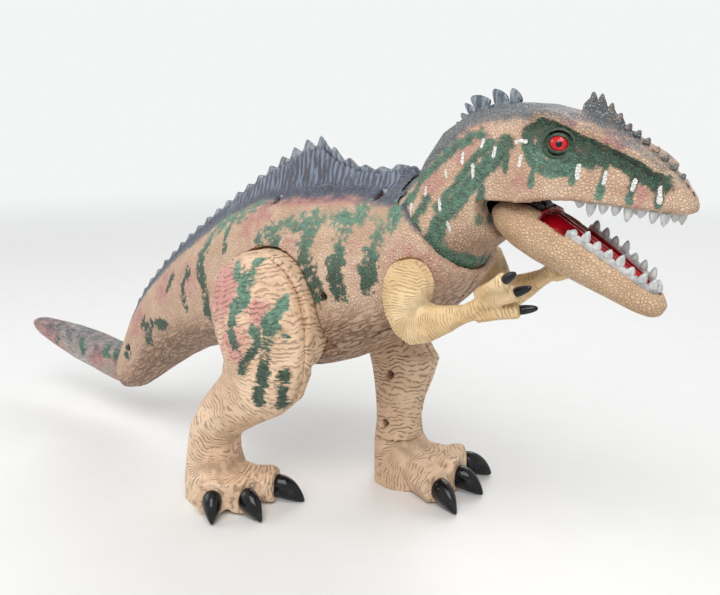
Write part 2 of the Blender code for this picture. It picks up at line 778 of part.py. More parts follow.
def make_back_spines():
    first, last = (share * BODY_LENGTH for share in BACK_STRIP_SHARES)
    return spine_strip("back_spines", crest_line(), first, last, BACK_SPIKES, back_spike_height)


def make_neck_spines():
    first, last = (NECK.x + share * HEAD_LENGTH for share in NAPE_STRIP_SHARES)
    return spine_strip("neck_spines", nape_line(), first, last, NAPE_SPIKES, nape_spike_height)


def hip_outline(grow):
    """Pocket outline round the hip: a circle that opens out downwards for the swinging leg."""
    radius = HIP_RADIUS + 2 * RUNNING_GAP + grow
    first, last = HIP_ARC_DEGREES
    upper = [(first + (last - first) * i / HIP_ARC_STEPS, 1.0) for i in range(HIP_ARC_STEPS + 1)]
    outline = []
    for degrees, share in HIP_FRONT_SHARES + upper + HIP_REAR_SHARES:
        angle = math.radians(degrees)
        outline.append((HIP.x + radius * share * math.cos(angle), HIP.z + radius * share * math.sin(angle)))
    for x, _ in (outline[-1], outline[0]):
        outline.append((x, 0))
    return outline


def hip_block(side, depth, grow):
    """Block that fills a hip pocket, from its floor at a depth outwards."""
    ends = sorted((side * depth, side * BODY_WIDTH))
    return prism("hip block", hip_outline(grow), ends[0], ends[1])


def column(radius, x, z, low_y, high_y, sides=12):
    return cylinder("column", radius, (x, low_y, z), (x, high_y, z), sides)


def bore(radius, sides=12):
    """Corner radius of a bore whose flats clear a turning pin."""
    return (radius + PIN_GAP) / math.cos(math.pi / sides)


def screw_seats():
    """Seats of the body's screws; the second one stands beside the neck's collar."""
    depth = -SCREW_SEAT_SHARE * BODY_WIDTH
    seats = [body_place(share, depth) for share in SCREW_PLACE_SHARES]
    turn = math.radians(COLLAR_SCREW_DEGREES)
    away = NECK_RADIUS + SCREW_HEAD_RADIUS + COLLAR_SCREW_ROOM
    seats.insert(1, NECK + Vector((away * math.cos(turn), depth, away * math.sin(turn))))
    return seats


def shoulder_space(side):
    """Round recess for an arm's root, with the bore for its peg."""
    peg, root = bore(PEG_RADIUS, 16), SHOULDER_RADIUS + RUNNING_GAP
    profile = [(PEG_END_SHARE * ARM_FLOOR, peg), (ARM_FLOOR, peg), (ARM_FLOOR, root), (BODY_WIDTH, root)]
    return turned("shoulder space", profile, (SHOULDER.x, 0, SHOULDER.z), (0, side, 0), 16)


def battery_frame():
    """Frame on the belly: X along the cells, Z up into the body."""
    tilt = Matrix.Rotation(-math.radians(DOOR_TILT_DEGREES), 4, "Y")
    return Matrix.Translation(body_place(BATTERY_PLACE_SHARES)) @ tilt


def battery_box(half_length, half_width, low, high, ahead=0.0):
    made = box("battery", (-half_length, -half_width, low), (half_length + ahead, half_width, high))
    return moved(made, battery_frame())


def battery_space():
    """Opening in the belly for the tray and, lower down, for the longer door."""
    back, front = -TRAY_HALF_LENGTH - GAP, TRAY_HALF_LENGTH + GAP
    step, top = DOOR_THICKNESS + GAP, TRAY_HIGH + GAP
    outline = [(back, -BODY_HEIGHT), (front + DOOR_AHEAD, -BODY_HEIGHT), (front + DOOR_AHEAD, step),
               (front, step), (front, top), (back, top)]
    half = TRAY_HALF_WIDTH + GAP
    return moved(prism("battery space", outline, -half, half), battery_frame())


def body_cavity():
    """Hollow of the body, kept clear of pockets, collar, columns and the door's screw boss."""
    hollow = loft("hollow", body_rings(BODY_SHARES[CAVITY_ROWS[0]:CAVITY_ROWS[1]], WALL, CAVITY_SIDES, False))
    for side in (-1, 1):
        combine(hollow, hip_block(side, HIP_FLOOR - WALL, WALL))
        ends = sorted((side * (ARM_FLOOR - WALL), side * BODY_WIDTH))
        combine(hollow, column(SHOULDER_RADIUS + WALL, SHOULDER.x, SHOULDER.z, *ends))
    combine(hollow, sphere("collar wall", NECK_RADIUS + RUNNING_GAP + WALL, NECK, 16))
    for seat in screw_seats():
        combine(hollow, column(BOSS_RADIUS, seat.x, seat.z, -BODY_WIDTH, BODY_WIDTH, 8))
    boss = battery_box(TRAY_HALF_LENGTH, 3 * SCREW_HEAD_RADIUS, 0, 2 * DOOR_THICKNESS, DOOR_AHEAD + WALL)
    combine(hollow, boss)
    for floor in (switch_floor(), speaker_floor()):
        combine(hollow, floor, "UNION")
    return hollow


def belly(share):
    """Belly height at a place along the body."""
    places = [row[2] for row in BODY_SHARES]
    heights = [row[3] for row in BODY_SHARES]
    return HIP_HEIGHT + np.interp(share, places, heights) * BODY_HEIGHT


def switch_floor():
    floor = belly(SWITCH_PLACE_SHARE) + WALL
    return box("floor", (SWITCH_X - SWITCH_HALF_LENGTH - GAP, -SWITCH_HALF_WIDTH - GAP, floor),
               (SWITCH_X + SWITCH_HALF_LENGTH + GAP, SWITCH_HALF_WIDTH + GAP, floor + 3 * WALL))


def speaker_floor():
    floor = belly(SPEAKER_PLACE_SHARE) + WALL
    top = floor + SPEAKER_HEIGHT
    return cylinder("floor", SPEAKER_RADIUS + GAP, (SPEAKER_X, 0, floor), (SPEAKER_X, 0, top), 16)


def tail_root(grow):
    """Round root of the tail tip, turned about its upright joint."""
    wide = TAIL_ROOT_SHARES[0] * TAIL_WIDTH + grow
    tall = TAIL_ROOT_SHARES[1] * TAIL_DEPTH + grow
    profile = []
    for i in range(8):
        angle = math.pi * (i + 0.5) / 8
        profile.append((-tall * math.cos(angle), wide * math.sin(angle)))
    return turned("tail root", profile, TAIL_JOINT, (0, 0, 1), 16)


def make_body_shells():
    """Both halves of the trunk, meeting at the middle plane."""
    outer = loft("body", body_rings(smooth_rows(BODY_SHARES, BODY_STEPS), 0, BODY_SIDES, True))
    rear = TAIL_JOINT.x - TAIL_RIM_SHARE * TAIL_LENGTH
    combine(outer, box("rear", (-REACH, -REACH, -REACH), (rear, REACH, REACH)))
    door = copy_of(outer, "battery_door")
    combine(outer, body_cavity())
    for side in (-1, 1):
        combine(outer, hip_block(side, HIP_FLOOR, 0))
        combine(outer, shoulder_space(side))
    combine(outer, column(bore(HIP_PIN_RADIUS), HIP.x, HIP.z, -BODY_WIDTH, BODY_WIDTH))
    combine(outer, column(CRANK_RADIUS + RUNNING_GAP, CRANK.x, CRANK.z, -BODY_WIDTH, BODY_WIDTH, 18))
    combine(outer, sphere("collar", NECK_RADIUS + RUNNING_GAP, NECK))
    reach = NECK_RADIUS + WALL
    combine(outer, column(bore(NECK_PIN_RADIUS, 12), NECK.x, NECK.z, -reach, reach, 12))
    combine(outer, tail_root(RUNNING_GAP))
    combine(outer, tail_pin_bore())
    first, last = (share * BODY_LENGTH for share in BACK_STRIP_SHARES)
    combine(outer, strip_slot(crest_line(), first, last))
    combine(outer, battery_space())
    slot = SWITCH_LENGTH / 2 + GAP
    combine(outer, box("slot", (SWITCH_X - slot - SWITCH_TRAVEL, -slot, 0),
                       (SWITCH_X + slot + SWITCH_TRAVEL, slot, belly(SWITCH_PLACE_SHARE) + 2 * WALL)))
    for i in range(4):
        turn = math.tau * (i + 0.5) / 4
        away = SPEAKER_RADIUS / 2
        x, y = SPEAKER_X + away * math.cos(turn), away * math.sin(turn)
        combine(outer, cylinder("sound hole", SPEAKER_RADIUS / 7, (x, y, 0), (x, y, HIP_HEIGHT - WALL), 6))
    plate = battery_box(TRAY_HALF_LENGTH, TRAY_HALF_WIDTH, -BODY_HEIGHT, DOOR_THICKNESS, DOOR_AHEAD - GAP)
    combine(door, plate, "INTERSECT")
    left = kept_side(copy_of(outer, "left"), 1, REACH)
    right = kept_side(outer, -1, REACH)
    for seat in screw_seats():
        screw_bores(right, left, seat, Vector((0, 1, 0)), BODY_WIDTH)
    seat = door_screw_seat()
    way = battery_frame().to_3x3() @ Vector((0, 0, 1))
    screw_bores(door, right, seat, way, BODY_WIDTH)
    return right, left, door


def door_screw_seat():
    across = -2 * SCREW_HEAD_RADIUS
    along = TRAY_HALF_LENGTH + GAP + DOOR_AHEAD / 2
    return battery_frame() @ Vector((along, across, DOOR_THICKNESS / 2))


def screw_bores(near, far, seat, way, reach):
    """Counterbore and clearance hole in the near piece, pilot hole in the far one."""
    tail = seat + way * (SCREW_LENGTH + GAP)
    bottom = seat + way * GAP / 2
    start = seat - way * SCREW_HEAD_HEIGHT
    combine(near, cylinder("counterbore", SCREW_HEAD_RADIUS + GAP, seat - way * reach, bottom, SCREW_SIDES))
    combine(near, cylinder("clearance", SCREW_RADIUS + GAP, start, tail, SCREW_SIDES))
    combine(far, cylinder("pilot", SCREW_RADIUS + PIN_GAP, seat, tail, SCREW_SIDES))


def make_screw(name, seat, way):
    profile = [
        (-SCREW_HEAD_HEIGHT, SCREW_HEAD_RADIUS),
        (0, SCREW_HEAD_RADIUS),
        (0, SCREW_RADIUS),
        (SCREW_LENGTH, SCREW_RADIUS * SCREW_POINT_SHARE),
    ]
    return turned(name, profile, seat, way, SCREW_SIDES)


def tail_pin_bore():
    reach = Vector((0, 0, TAIL_PIN_SHARE * TAIL_DEPTH + PIN_GAP))
    return cylinder("tail bore", bore(TAIL_PIN_RADIUS, 10), TAIL_JOINT - reach, TAIL_JOINT + reach, 10)


def make_tail_tip():
    rings = []
    for way, rise, half, width in TAIL_TIP_SHARES:
        x = TAIL_JOINT.x - way * TAIL_LENGTH
        lean = half * TAIL_DEPTH
        middle = TAIL_JOINT.z + rise * TAIL_DEPTH
        high, low = np.array((x, middle + lean)), np.array((x, middle - lean))
        rings.append(section(high, low, width * TAIL_WIDTH, 0, TAIL_SIDES, TAIL_POWER, TAIL_POWER,
                             MIDDLE_SHARE))
    tip = loft("tail_tip", rings)
    combine(tip, tail_root(0), "UNION")
    return combine(tip, tail_pin_bore())


def make_tail_pin():
    reach = Vector((0, 0, TAIL_PIN_SHARE * TAIL_DEPTH))
    return cylinder("tail_pin", TAIL_PIN_RADIUS, TAIL_JOINT - reach, TAIL_JOINT + reach, 10)


# Head


def gum_outline(shares, length, width):
    """The U of a gum line in plan, from its left rear end round the front to the right one."""
    half = [Vector((x * length, y * width)) for x, y in smooth_rows(shares, GUM_STEPS)]
    return half + [Vector((p.x, -p.y)) for p in reversed(half[:-1])]


def gum_line(shares, length, width, inset, count, first=0.0):
    """Even places along a gum line, drawn in by an inset: (place, way outwards)."""
    line = gum_outline(shares, length, width)
    xs, ys = [p.x for p in line], [p.y for p in line]
    ways = np.cumsum([0.0] + [(b - a).length for a, b in zip(line, line[1:])])
    middle = len(line) // 2 + 1
    start = np.interp(first * length, xs[:middle], ways[:middle])
    out = []
    for along in np.linspace(start, ways[-1] - start, count):
        near, far = along - GAP, along + GAP
        run = Vector((np.interp(far, ways, xs) - np.interp(near, ways, xs),
                      np.interp(far, ways, ys) - np.interp(near, ways, ys))).normalized()
        outward = Vector((-run.y, run.x))
        place = Vector((np.interp(along, ways, xs), np.interp(along, ways, ys)))
        out.append((place - outward * inset, outward))
    return out


def gum_trough(shares, length, width, low, high):
    """Upright solid over the plan of a gum line."""
    plan = gum_outline(shares, length, width)
    return loft("trough", [[Vector((p.x, p.y, z)) for p in plan] for z in (low, high)])


def teeth_row(name, shares, sizes, first, teeth, seat_at, base, way):
    """Gum strip with pointed teeth on the inner side of a gum line, from its base to the skin's edge."""
    path, ways, sides, feet, tips = [], [], [], [], []
    inset = GAP + TOOTH_THICKNESS / 2
    for i, (place, outward) in enumerate(gum_line(shares, sizes[0], sizes[2], inset, 2 * teeth + 1, first)):
        seat = seat_at(place)
        path.append(Vector((place.x, place.y, seat)))
        ways.append(Vector((0, 0, way)))
        sides.append(Vector((outward.x, outward.y, 0)) * TOOTH_THICKNESS)
        feet.append(abs(seat - base))
        tall, point = (TOOTH_LENGTH, TOOTH_POINT_SHARE) if i % 2 else (TOOTH_LENGTH / 12, 1)
        tips.append((tall, point, Vector()))
    return spiked_strip(name, path, ways, sides, feet, tips)


def head_skin():
    rings = []
    for high, low, rest in upright(smooth_rows(HEAD_SHARES, HEAD_STEPS), NECK, HEAD_LENGTH, HEAD_HEIGHT):
        rings.append(section(high, low, rest[0] * HEAD_WIDTH, 0, HEAD_SIDES, rest[1], rest[2],
                             HEAD_WIDEST_SHARE))
    return loft("head", rings)


def plain_loft(name, rows, origin, length, height, width, sides, power, widest):
    rings = []
    for high, low, rest in upright(rows, origin, length, height):
        rings.append(section(high, low, rest[0] * width, 0, sides, power, power, widest))
    return loft(name, rings)


def make_head_shells():
    """Both halves of the head and neck, with the mouth, the jaw's seat and the sockets."""
    head = head_skin()
    combine(head, sphere("neck root", NECK_RADIUS, NECK), "UNION")
    crest = plain_loft("crest", NOSE_CREST_SHARES, NECK, HEAD_LENGTH, HEAD_HEIGHT, HEAD_WIDTH,
                       NOSE_CREST_SIDES, NOSE_CREST_POWER, NOSE_CREST_WIDEST_SHARE)
    combine(head, crest, "UNION")
    hollow = plain_loft("hollow", HEAD_CAVITY_SHARES, NECK, HEAD_LENGTH, HEAD_HEIGHT, HEAD_WIDTH,
                        HEAD_CAVITY_SIDES, HEAD_CAVITY_POWER, HEAD_CAVITY_WIDEST_SHARE)
    combine(head, hollow)
    rear = cylinder("jaw seat", JAW_REAR_RADIUS + RUNNING_GAP, JAW_HINGE - Vector((0, REACH, 0)),
                    JAW_HINGE + Vector((0, REACH, 0)), 28)
    lip = head_place((0, LIP_SHARE)).z
    combine(rear, box("below", (-REACH, -REACH, 0), (REACH, REACH, lip)), "INTERSECT")
    combine(head, rear)
    pocket = Vector((0, JAW_POCKET, 0))
    radius = JAW_POCKET_SHARE * JAW_REAR_RADIUS
    combine(head, cylinder("jaw pocket", radius, JAW_HINGE - pocket, JAW_HINGE + pocket, 20))
    roof = NECK.z + PALATE_RISE_SHARE * HEAD_HEIGHT
    palate = gum_trough(UPPER_GUM_SHARES, HEAD_LENGTH, HEAD_WIDTH, lip - HEAD_HEIGHT / 2, roof)
    combine(head, moved(palate, Matrix.Translation((NECK.x, 0, 0))))
    combine(head, jaw_block(), "UNION")
    for side in (-1, 1):
        combine(head, sphere("socket", EYE_RADIUS + GAP, (EYE.x, side * EYE.y, EYE.z), 12, 6))
    combine(head, column(bore(JAW_PIN_RADIUS, 12), JAW_HINGE.x, JAW_HINGE.z, -JAW_WIDTH, JAW_WIDTH, 12))
    combine(head, column(bore(NECK_PIN_RADIUS, 12), NECK.x, NECK.z, -BODY_WIDTH, BODY_WIDTH, 12))
    first, last = (NECK.x + share * HEAD_LENGTH for share in NAPE_STRIP_SHARES)
    combine(head, strip_slot(nape_line(), first, last))
    left = kept_side(copy_of(head, "left"), 1, REACH)
    return kept_side(head, -1, REACH), left


def jaw_block():
    """Block that hangs from the roof of the mouth and holds the jaw's pin."""
    half = JAW_BLOCK_SHARE * JAW_WIDTH
    block = column(JAW_BLOCK, JAW_HINGE.x, JAW_HINGE.z, -half, half, 20)
    neck = box("neck", (JAW_HINGE.x - JAW_BLOCK, -half, JAW_HINGE.z),
               (JAW_HINGE.x + JAW_BLOCK / 2, half, JAW_HINGE.z + JAW_BLOCK_RISE_SHARE * JAW_REAR_RADIUS))
    return combine(block, neck, "UNION")


def make_upper_teeth():
    sizes = (HEAD_LENGTH, HEAD_HEIGHT, HEAD_WIDTH)
    base = PALATE_RISE_SHARE * HEAD_HEIGHT - GAP
    made = teeth_row("upper_teeth", UPPER_GUM_SHARES, sizes, UPPER_TEETH_SHARE, UPPER_TEETH,
                     lambda place: skin_level(HEAD_SHARES, place, sizes, HEAD_WIDEST_SHARE, LIP_POWER, False),
                     base, -1)
    return moved(made, Matrix.Translation(NECK))


def make_eye(name, side):
    return sphere(name, EYE_RADIUS, (EYE.x, side * EYE.y, EYE.z), 12, 6)


def make_pin(name, radius, centre, reach):
    return cylinder(name, radius, centre - Vector((0, reach, 0)), centre + Vector((0, reach, 0)), 12)


# Lower jaw, closed, in the frame of its hinge


def make_lower_jaw():
    rows = smooth_rows(JAW_SHARES, JAW_STEPS)
    jaw = plain_loft("lower_jaw", rows, Vector(), JAW_LENGTH, JAW_DEPTH, JAW_WIDTH, JAW_SIDES, JAW_POWER,
                     JAW_WIDEST_SHARE)
    floor = JAW_FLOOR_SHARE * JAW_DEPTH
    combine(jaw, gum_trough(LOWER_GUM_SHARES, JAW_LENGTH, JAW_WIDTH, floor, JAW_DEPTH))
    half = JAW_BLOCK_SHARE * JAW_WIDTH + RUNNING_GAP
    wide = JAW_BLOCK + 2 * RUNNING_GAP
    combine(jaw, column(wide, 0, 0, -half, half, 20))
    combine(jaw, box("slot", (-JAW_REAR_RADIUS, -half, 0), (wide, half, JAW_DEPTH)))
    reach = JAW_PIN_SHARE * JAW_WIDTH + GAP
    combine(jaw, column(bore(JAW_PIN_RADIUS, 12), 0, 0, -reach, reach, 12))
    return opened(jaw)


def opened(made):
    """Takes a piece of the closed jaw to its place in the head, with the mouth open."""
    turn = Matrix.Rotation(math.radians(JAW_OPEN_DEGREES), 4, "Y")
    return moved(made, Matrix.Translation(JAW_HINGE) @ turn)


def make_lower_teeth():
    sizes = (JAW_LENGTH, JAW_DEPTH, JAW_WIDTH)
    base = JAW_FLOOR_SHARE * JAW_DEPTH + GAP
    made = teeth_row("lower_teeth", LOWER_GUM_SHARES, sizes, LOWER_TEETH_SHARE, LOWER_TEETH,
                     lambda place: skin_level(JAW_SHARES, place, sizes, JAW_WIDEST_SHARE, JAW_POWER, True),
                     base, 1)
    return opened(made)


def make_tongue():
    """Domed floor of the mouth between the two rows of teeth."""
    inset = TOOTH_THICKNESS + 4 * GAP
    line = gum_line(LOWER_GUM_SHARES, JAW_LENGTH, JAW_WIDTH, inset, TONGUE_POINTS, TONGUE_START_SHARE)
    plan = [place for place, _ in line]
    centre = Vector((JAW_LENGTH / 2, 0))
    floor = JAW_FLOOR_SHARE * JAW_DEPTH + GAP
    rings = []
    for share, size in TONGUE_SHARES:
        z = floor + share * (TONGUE_RISE_SHARE * JAW_DEPTH - floor)
        rings.append([Vector((*(centre + (place - centre) * size), z)) for place in plan])
    return opened(loft("tongue", rings))


# Legs


def round_ring(middle, across, up, sides):
    ring = []
    for i in range(sides):
        turn = math.tau * (i + 0.5) / sides
        ring.append(middle + across * math.cos(turn) + up * math.sin(turn))
    return ring


def leg_rings(rows, side, lean):
    rings = []
    for high, low, rest in upright(smooth_rows(rows, LEG_STEPS), HIP, LEG_LENGTH, HIP_HEIGHT):
        level = (high[1] + low[1]) / 2 / HIP_HEIGHT
        middle = LEG_MIDDLE + lean * LEG_LENGTH * np.interp(level, LEG_LEAN_SHARES, (1, 0))
        rings.append(section(high, low, rest[0] * THIGH_WIDTH, side * middle, LEG_SIDES, LEG_POWER, LEG_POWER,
                             MIDDLE_SHARE))
    return rings


def make_toe(name, rows, sides, centre, turn, length, side):
    """A toe or its claw, lofted along the floor."""
    ahead = Vector((math.cos(turn), side * math.sin(turn), 0))
    beside = Vector((-ahead.y, ahead.x, 0))
    up = Vector((0, 0, TOE_RADIUS))
    rings = []
    for way, height, tall, wide in rows:
        middle = centre + ahead * (way * length) + up * height
        rings.append(round_ring(middle, beside * (wide * TOE_RADIUS), up * tall, sides))
    return loft(name, rings)


def make_leg(rows, side, lean, foot_share, toes, screws):
    """Outer half with the foot, and inner half with the hip's bearing."""
    leg = loft("leg", leg_rings(rows, side, lean))
    ends = sorted((side * (LEG_FACE - OVERRUN), side * LEG_MIDDLE))
    combine(leg, column(HIP_RADIUS, HIP.x, HIP.z, *ends, 24), "UNION")
    ends = sorted((0, side * LEG_FACE))
    combine(leg, box("inside", (-REACH, ends[0], LEG_INSIDE_SHARE * HIP_HEIGHT), (REACH, ends[1], REACH)))
    centre = Vector((foot_share * LEG_LENGTH, side * (LEG_MIDDLE + lean * LEG_LENGTH), 0))
    for degrees, share in toes:
        turn, length = math.radians(degrees), share * TOE_LENGTH
        combine(leg, make_toe("toe", TOE_SHARES, 7, centre, turn, length, side), "UNION")
        combine(leg, make_toe("claw", CLAW_SHARES, 5, centre, turn, length, side), "UNION")
    combine(leg, box("floor", (-REACH, -REACH, -REACH), (REACH, REACH, 0)))
    ankle = ANKLE_SHARE * HIP_HEIGHT
    ends = sorted((0, side * (LEG_MIDDLE - GAP / 2)))
    inner = copy_of(leg, "inner")
    combine(inner, box("half", (-REACH, ends[0], ankle + GAP / 2), (REACH, ends[1], REACH)), "INTERSECT")
    ends = sorted((0, side * (LEG_MIDDLE + GAP / 2)))
    combine(leg, box("half", (-REACH, ends[0], ankle - GAP / 2), (REACH, ends[1], REACH)))
    ends = sorted((0, side * (LEG_FACE + HIP_BORE_DEPTH)))
    combine(inner, column(bore(HIP_PIN_RADIUS), HIP.x, HIP.z, *ends))
    ends = sorted((0, side * (LEG_FACE + 2 * WALL)))
    combine(inner, column(CRANK_RECESS, CRANK.x, CRANK.z, *ends, 16))
    for seat in leg_seats(screws, side):
        screw_bores(inner, leg, seat, Vector((0, side, 0)), LEG_MIDDLE)
    return leg, inner


def leg_seats(screws, side):
    """Places under the heads of a leg's screws, sunk from the inner side."""
    depth = LEG_MIDDLE - SCREW_LENGTH / 2
    return [Vector((x * LEG_LENGTH, side * depth, z * HIP_HEIGHT)) for x, z in screws]


def make_hip_pin(name, side):
    start = HIP_FLOOR - 2 * WALL - GAP
    profile = [(along * WALL, wide * HIP_PIN_RADIUS) for along, wide in HIP_PIN_FLANGE_SHARES]
    profile.append((LEG_FACE + HIP_BORE_DEPTH - GAP - start, HIP_PIN_RADIUS))
    return turned(name, profile, (HIP.x, side * start, HIP.z), (0, side, 0), 12)


# Arms


def tube(name, path, radii, sides):
    """Round bar along a bent path in a plane close to X-Z."""
    rings = []
    for i, (place, radius) in enumerate(zip(path, radii)):
        way = (path[min(i + 1, len(path) - 1)] - path[max(i - 1, 0)]).normalized()
        across = way.cross(Vector((0, 0, 1))).normalized()
        rings.append(round_ring(place, across * radius, across.cross(way) * radius, sides))
    return loft(name, rings)


def make_arm(name, side, lift):
    middle = ARM_FACE + ARM_WIDTH / 2
    rings = []
    for high, low, rest in upright(smooth_rows(ARM_SHARES, ARM_STEPS), SHOULDER, ARM_LENGTH, ARM_LENGTH):
        rings.append(section(high, low, rest[0] * ARM_WIDTH, side * middle, ARM_SIDES, ARM_POWER, ARM_POWER,
                             MIDDLE_SHARE))
    arm = loft(name, rings)
    ends = sorted((side * (ARM_FLOOR + GAP), side * middle))
    combine(arm, column(SHOULDER_RADIUS, SHOULDER.x, SHOULDER.z, *ends, 18), "UNION")
    ends = sorted((side * (PEG_END_SHARE * ARM_FLOOR + GAP), side * middle))
    combine(arm, column(PEG_RADIUS, SHOULDER.x, SHOULDER.z, *ends, 12), "UNION")
    for x0, z0, x1, z1, y0, y1 in FINGER_SHARES:
        start = SHOULDER + Vector((x0 * ARM_LENGTH, side * (middle + y0 * ARM_LENGTH), z0 * ARM_LENGTH))
        end = SHOULDER + Vector((x1 * ARM_LENGTH, side * (middle + y1 * ARM_LENGTH), z1 * ARM_LENGTH))
        way = (end - start).normalized()
        waist = FINGER_WAIST_SHARE * FINGER_RADIUS
        finger = tube("finger", [start, (start + end) / 2, end], [FINGER_RADIUS, waist, FINGER_RADIUS], 6)
        combine(arm, finger, "UNION")
        path, radii = [], []
        for ahead, down, radius in FINGER_CLAW_SHARES:
            path.append(end + (way * ahead - Vector((0, 0, down))) * FINGER_CLAW_LENGTH)
            radii.append(radius * FINGER_RADIUS)
        combine(arm, tube("claw", path, radii, 5), "UNION")
    turn = Matrix.Rotation(-math.radians(lift), 4, "Y")
    return moved(arm, Matrix.Translation(SHOULDER) @ turn @ Matrix.Translation(-SHOULDER))


# Drive


def gear_plane(i):
    """Low and high y of a gear plane, counted from the lid to the tray's wall."""
    high = -WALL - 2 * GAP - i * (GEAR_THICKNESS + 3 * GAP)
    return high - GEAR_THICKNESS, high


GEARBOX_FLOOR = gear_plane(2)[0] - 2 * GAP


def gear(name, centre, teeth, turn, low_y, high_y):
    """Spur gear round an axis along Y, one tooth standing at the given turn."""
    pitch = GEAR_MODULE * teeth / 2
    step = math.tau / teeth
    root, tip = pitch - GEAR_ROOT_SHARE * GEAR_MODULE, pitch + GEAR_TIP_SHARE * GEAR_MODULE
    root_half, tip_half = GEAR_ROOT_WIDTH_SHARE * step, GEAR_TIP_WIDTH_SHARE * step
    outline = []
    for i in range(teeth):
        middle = turn + i * step
        for radius, offset in ((root, -root_half), (tip, -tip_half), (tip, tip_half), (root, root_half)):
            angle = middle + offset
            outline.append((centre.x + radius * math.cos(angle), centre.z + radius * math.sin(angle)))
    return prism(name, outline, low_y, high_y)


def compound_gear(name, axle, plane):
    """Wheel in one plane and pinion in the next, on one axle."""
    made = gear(name, axle, WHEEL_TEETH, math.pi, *gear_plane(plane))
    low = gear_plane(plane + 1)[0]
    pinion = gear("pinion", axle, PINION_TEETH, math.pi / PINION_TEETH, low, gear_plane(plane)[0] + GAP)
    combine(made, pinion, "UNION")
    return combine(made, column(bore(AXLE_RADIUS, 12), axle.x, axle.z, -REACH, REACH, 12))


def make_output_gear():
    made = gear("output_gear", CRANK, OUTPUT_TEETH, math.pi, *gear_plane(2))
    reach = HIP_FLOOR - GAP - WALL / 2
    return combine(made, column(AXLE_RADIUS, CRANK.x, CRANK.z, -reach, reach, 12), "UNION")


def make_crank(name, side, turn):
    """Disc on the end of the output axle with the pin that swings a leg."""
    low, high = HIP_FLOOR - WALL + GAP, HIP_FLOOR - GAP
    ends = sorted((side * low, side * high))
    crank = column(CRANK_RADIUS, CRANK.x, CRANK.z, *ends, 18)
    x, z = CRANK.x + CRANK_THROW * math.cos(turn), CRANK.z + CRANK_THROW * math.sin(turn)
    ends = sorted((side * (low + GAP), side * (LEG_FACE + CRANK_PIN_SHARE * WALL)))
    combine(crank, column(CRANK_PIN_RADIUS, x, z, *ends, 12), "UNION")
    ends = sorted((0, side * (HIP_FLOOR - GAP - WALL / 2 + PIN_GAP)))
    return combine(crank, column(bore(AXLE_RADIUS, 12), CRANK.x, CRANK.z, *ends, 12))


def make_motor_pinion():
    made = gear("motor_pinion", MOTOR_AXIS, PINION_TEETH, math.pi / PINION_TEETH, *gear_plane(0))
    radius = MOTOR_SHAFT_SHARE * AXLE_RADIUS
    shaft = column(radius, MOTOR_AXIS.x, MOTOR_AXIS.z, gear_plane(0)[0], MOTOR_FLAT / 2, 10)
    return combine(made, shaft, "UNION")


def make_motor():
    outline = []
    for i in range(20):
        angle = math.tau * i / 20
        z = max(-MOTOR_FLAT, min(MOTOR_FLAT, MOTOR_RADIUS * math.sin(angle)))
        outline.append((MOTOR_AXIS.x + MOTOR_RADIUS * math.cos(angle), MOTOR_AXIS.z + z))
    end = HIP_FLOOR - WALL - 2 * GAP
    motor = prism("motor", outline, GAP, end)
    shaft = column(bore(AXLE_RADIUS * MOTOR_SHAFT_SHARE, 10), MOTOR_AXIS.x, MOTOR_AXIS.z, -MOTOR_FLAT,
                   MOTOR_FLAT / 2 + GAP, 10)
    return combine(motor, shaft)


def gearbox_posts(low, high):
    posts = []
    for share in POST_SHARES:
        seat = body_place(share)
        posts.append(column(SCREW_HEAD_RADIUS, seat.x, seat.z, low, high, 10))
    return posts


def gearbox_bores(made):
    """Axle holes through the tray's wall or the lid."""
    for axle in (CRANK, FIRST_AXLE, SECOND_AXLE):
        combine(made, column(bore(AXLE_RADIUS, 12), axle.x, axle.z, GEARBOX_FLOOR - 2 * WALL, 2 * WALL, 12))
    return made


def make_gearbox_tray():
    low, high = GEARBOX_FLOOR - WALL, -WALL - GAP
    bottom = CRANK.z - GEARBOX_HALF_HEIGHT
    tray = box("gearbox_tray", (GEARBOX_REAR, low, bottom), (GEARBOX_FRONT, high, GEARBOX_TOP))
    inside = box("inside", (GEARBOX_REAR + WALL, GEARBOX_FLOOR, bottom + WALL),
                 (GEARBOX_FRONT - WALL, REACH, GEARBOX_TOP - WALL))
    combine(tray, inside)
    for post in gearbox_posts(-HIP_FLOOR + WALL + GAP, low + GAP):
        combine(tray, post, "UNION")
    return gearbox_bores(tray)


def make_gearbox_lid():
    bottom = CRANK.z - GEARBOX_HALF_HEIGHT
    lid = box("gearbox_lid", (GEARBOX_REAR, -WALL, bottom), (GEARBOX_FRONT, 0, GEARBOX_TOP))
    for post in gearbox_posts(-GAP, HIP_FLOOR - WALL - GAP):
        combine(lid, post, "UNION")
    combine(lid, column(AXLE_RADIUS + GAP, MOTOR_AXIS.x, MOTOR_AXIS.z, -2 * WALL, GAP, 12))
    return gearbox_bores(lid)


def make_axle(name, axle):
    return column(AXLE_RADIUS, axle.x, axle.z, GEARBOX_FLOOR - WALL + GAP, -GAP, 12)


# Batteries, sound and switch


def make_battery_tray():
    tray = battery_box(TRAY_HALF_LENGTH, TRAY_HALF_WIDTH, TRAY_LOW, TRAY_HIGH)
    thin = WALL / 2
    return combine(tray, battery_box(TRAY_HALF_LENGTH - thin, TRAY_HALF_WIDTH - thin, 0, TRAY_HIGH - thin))


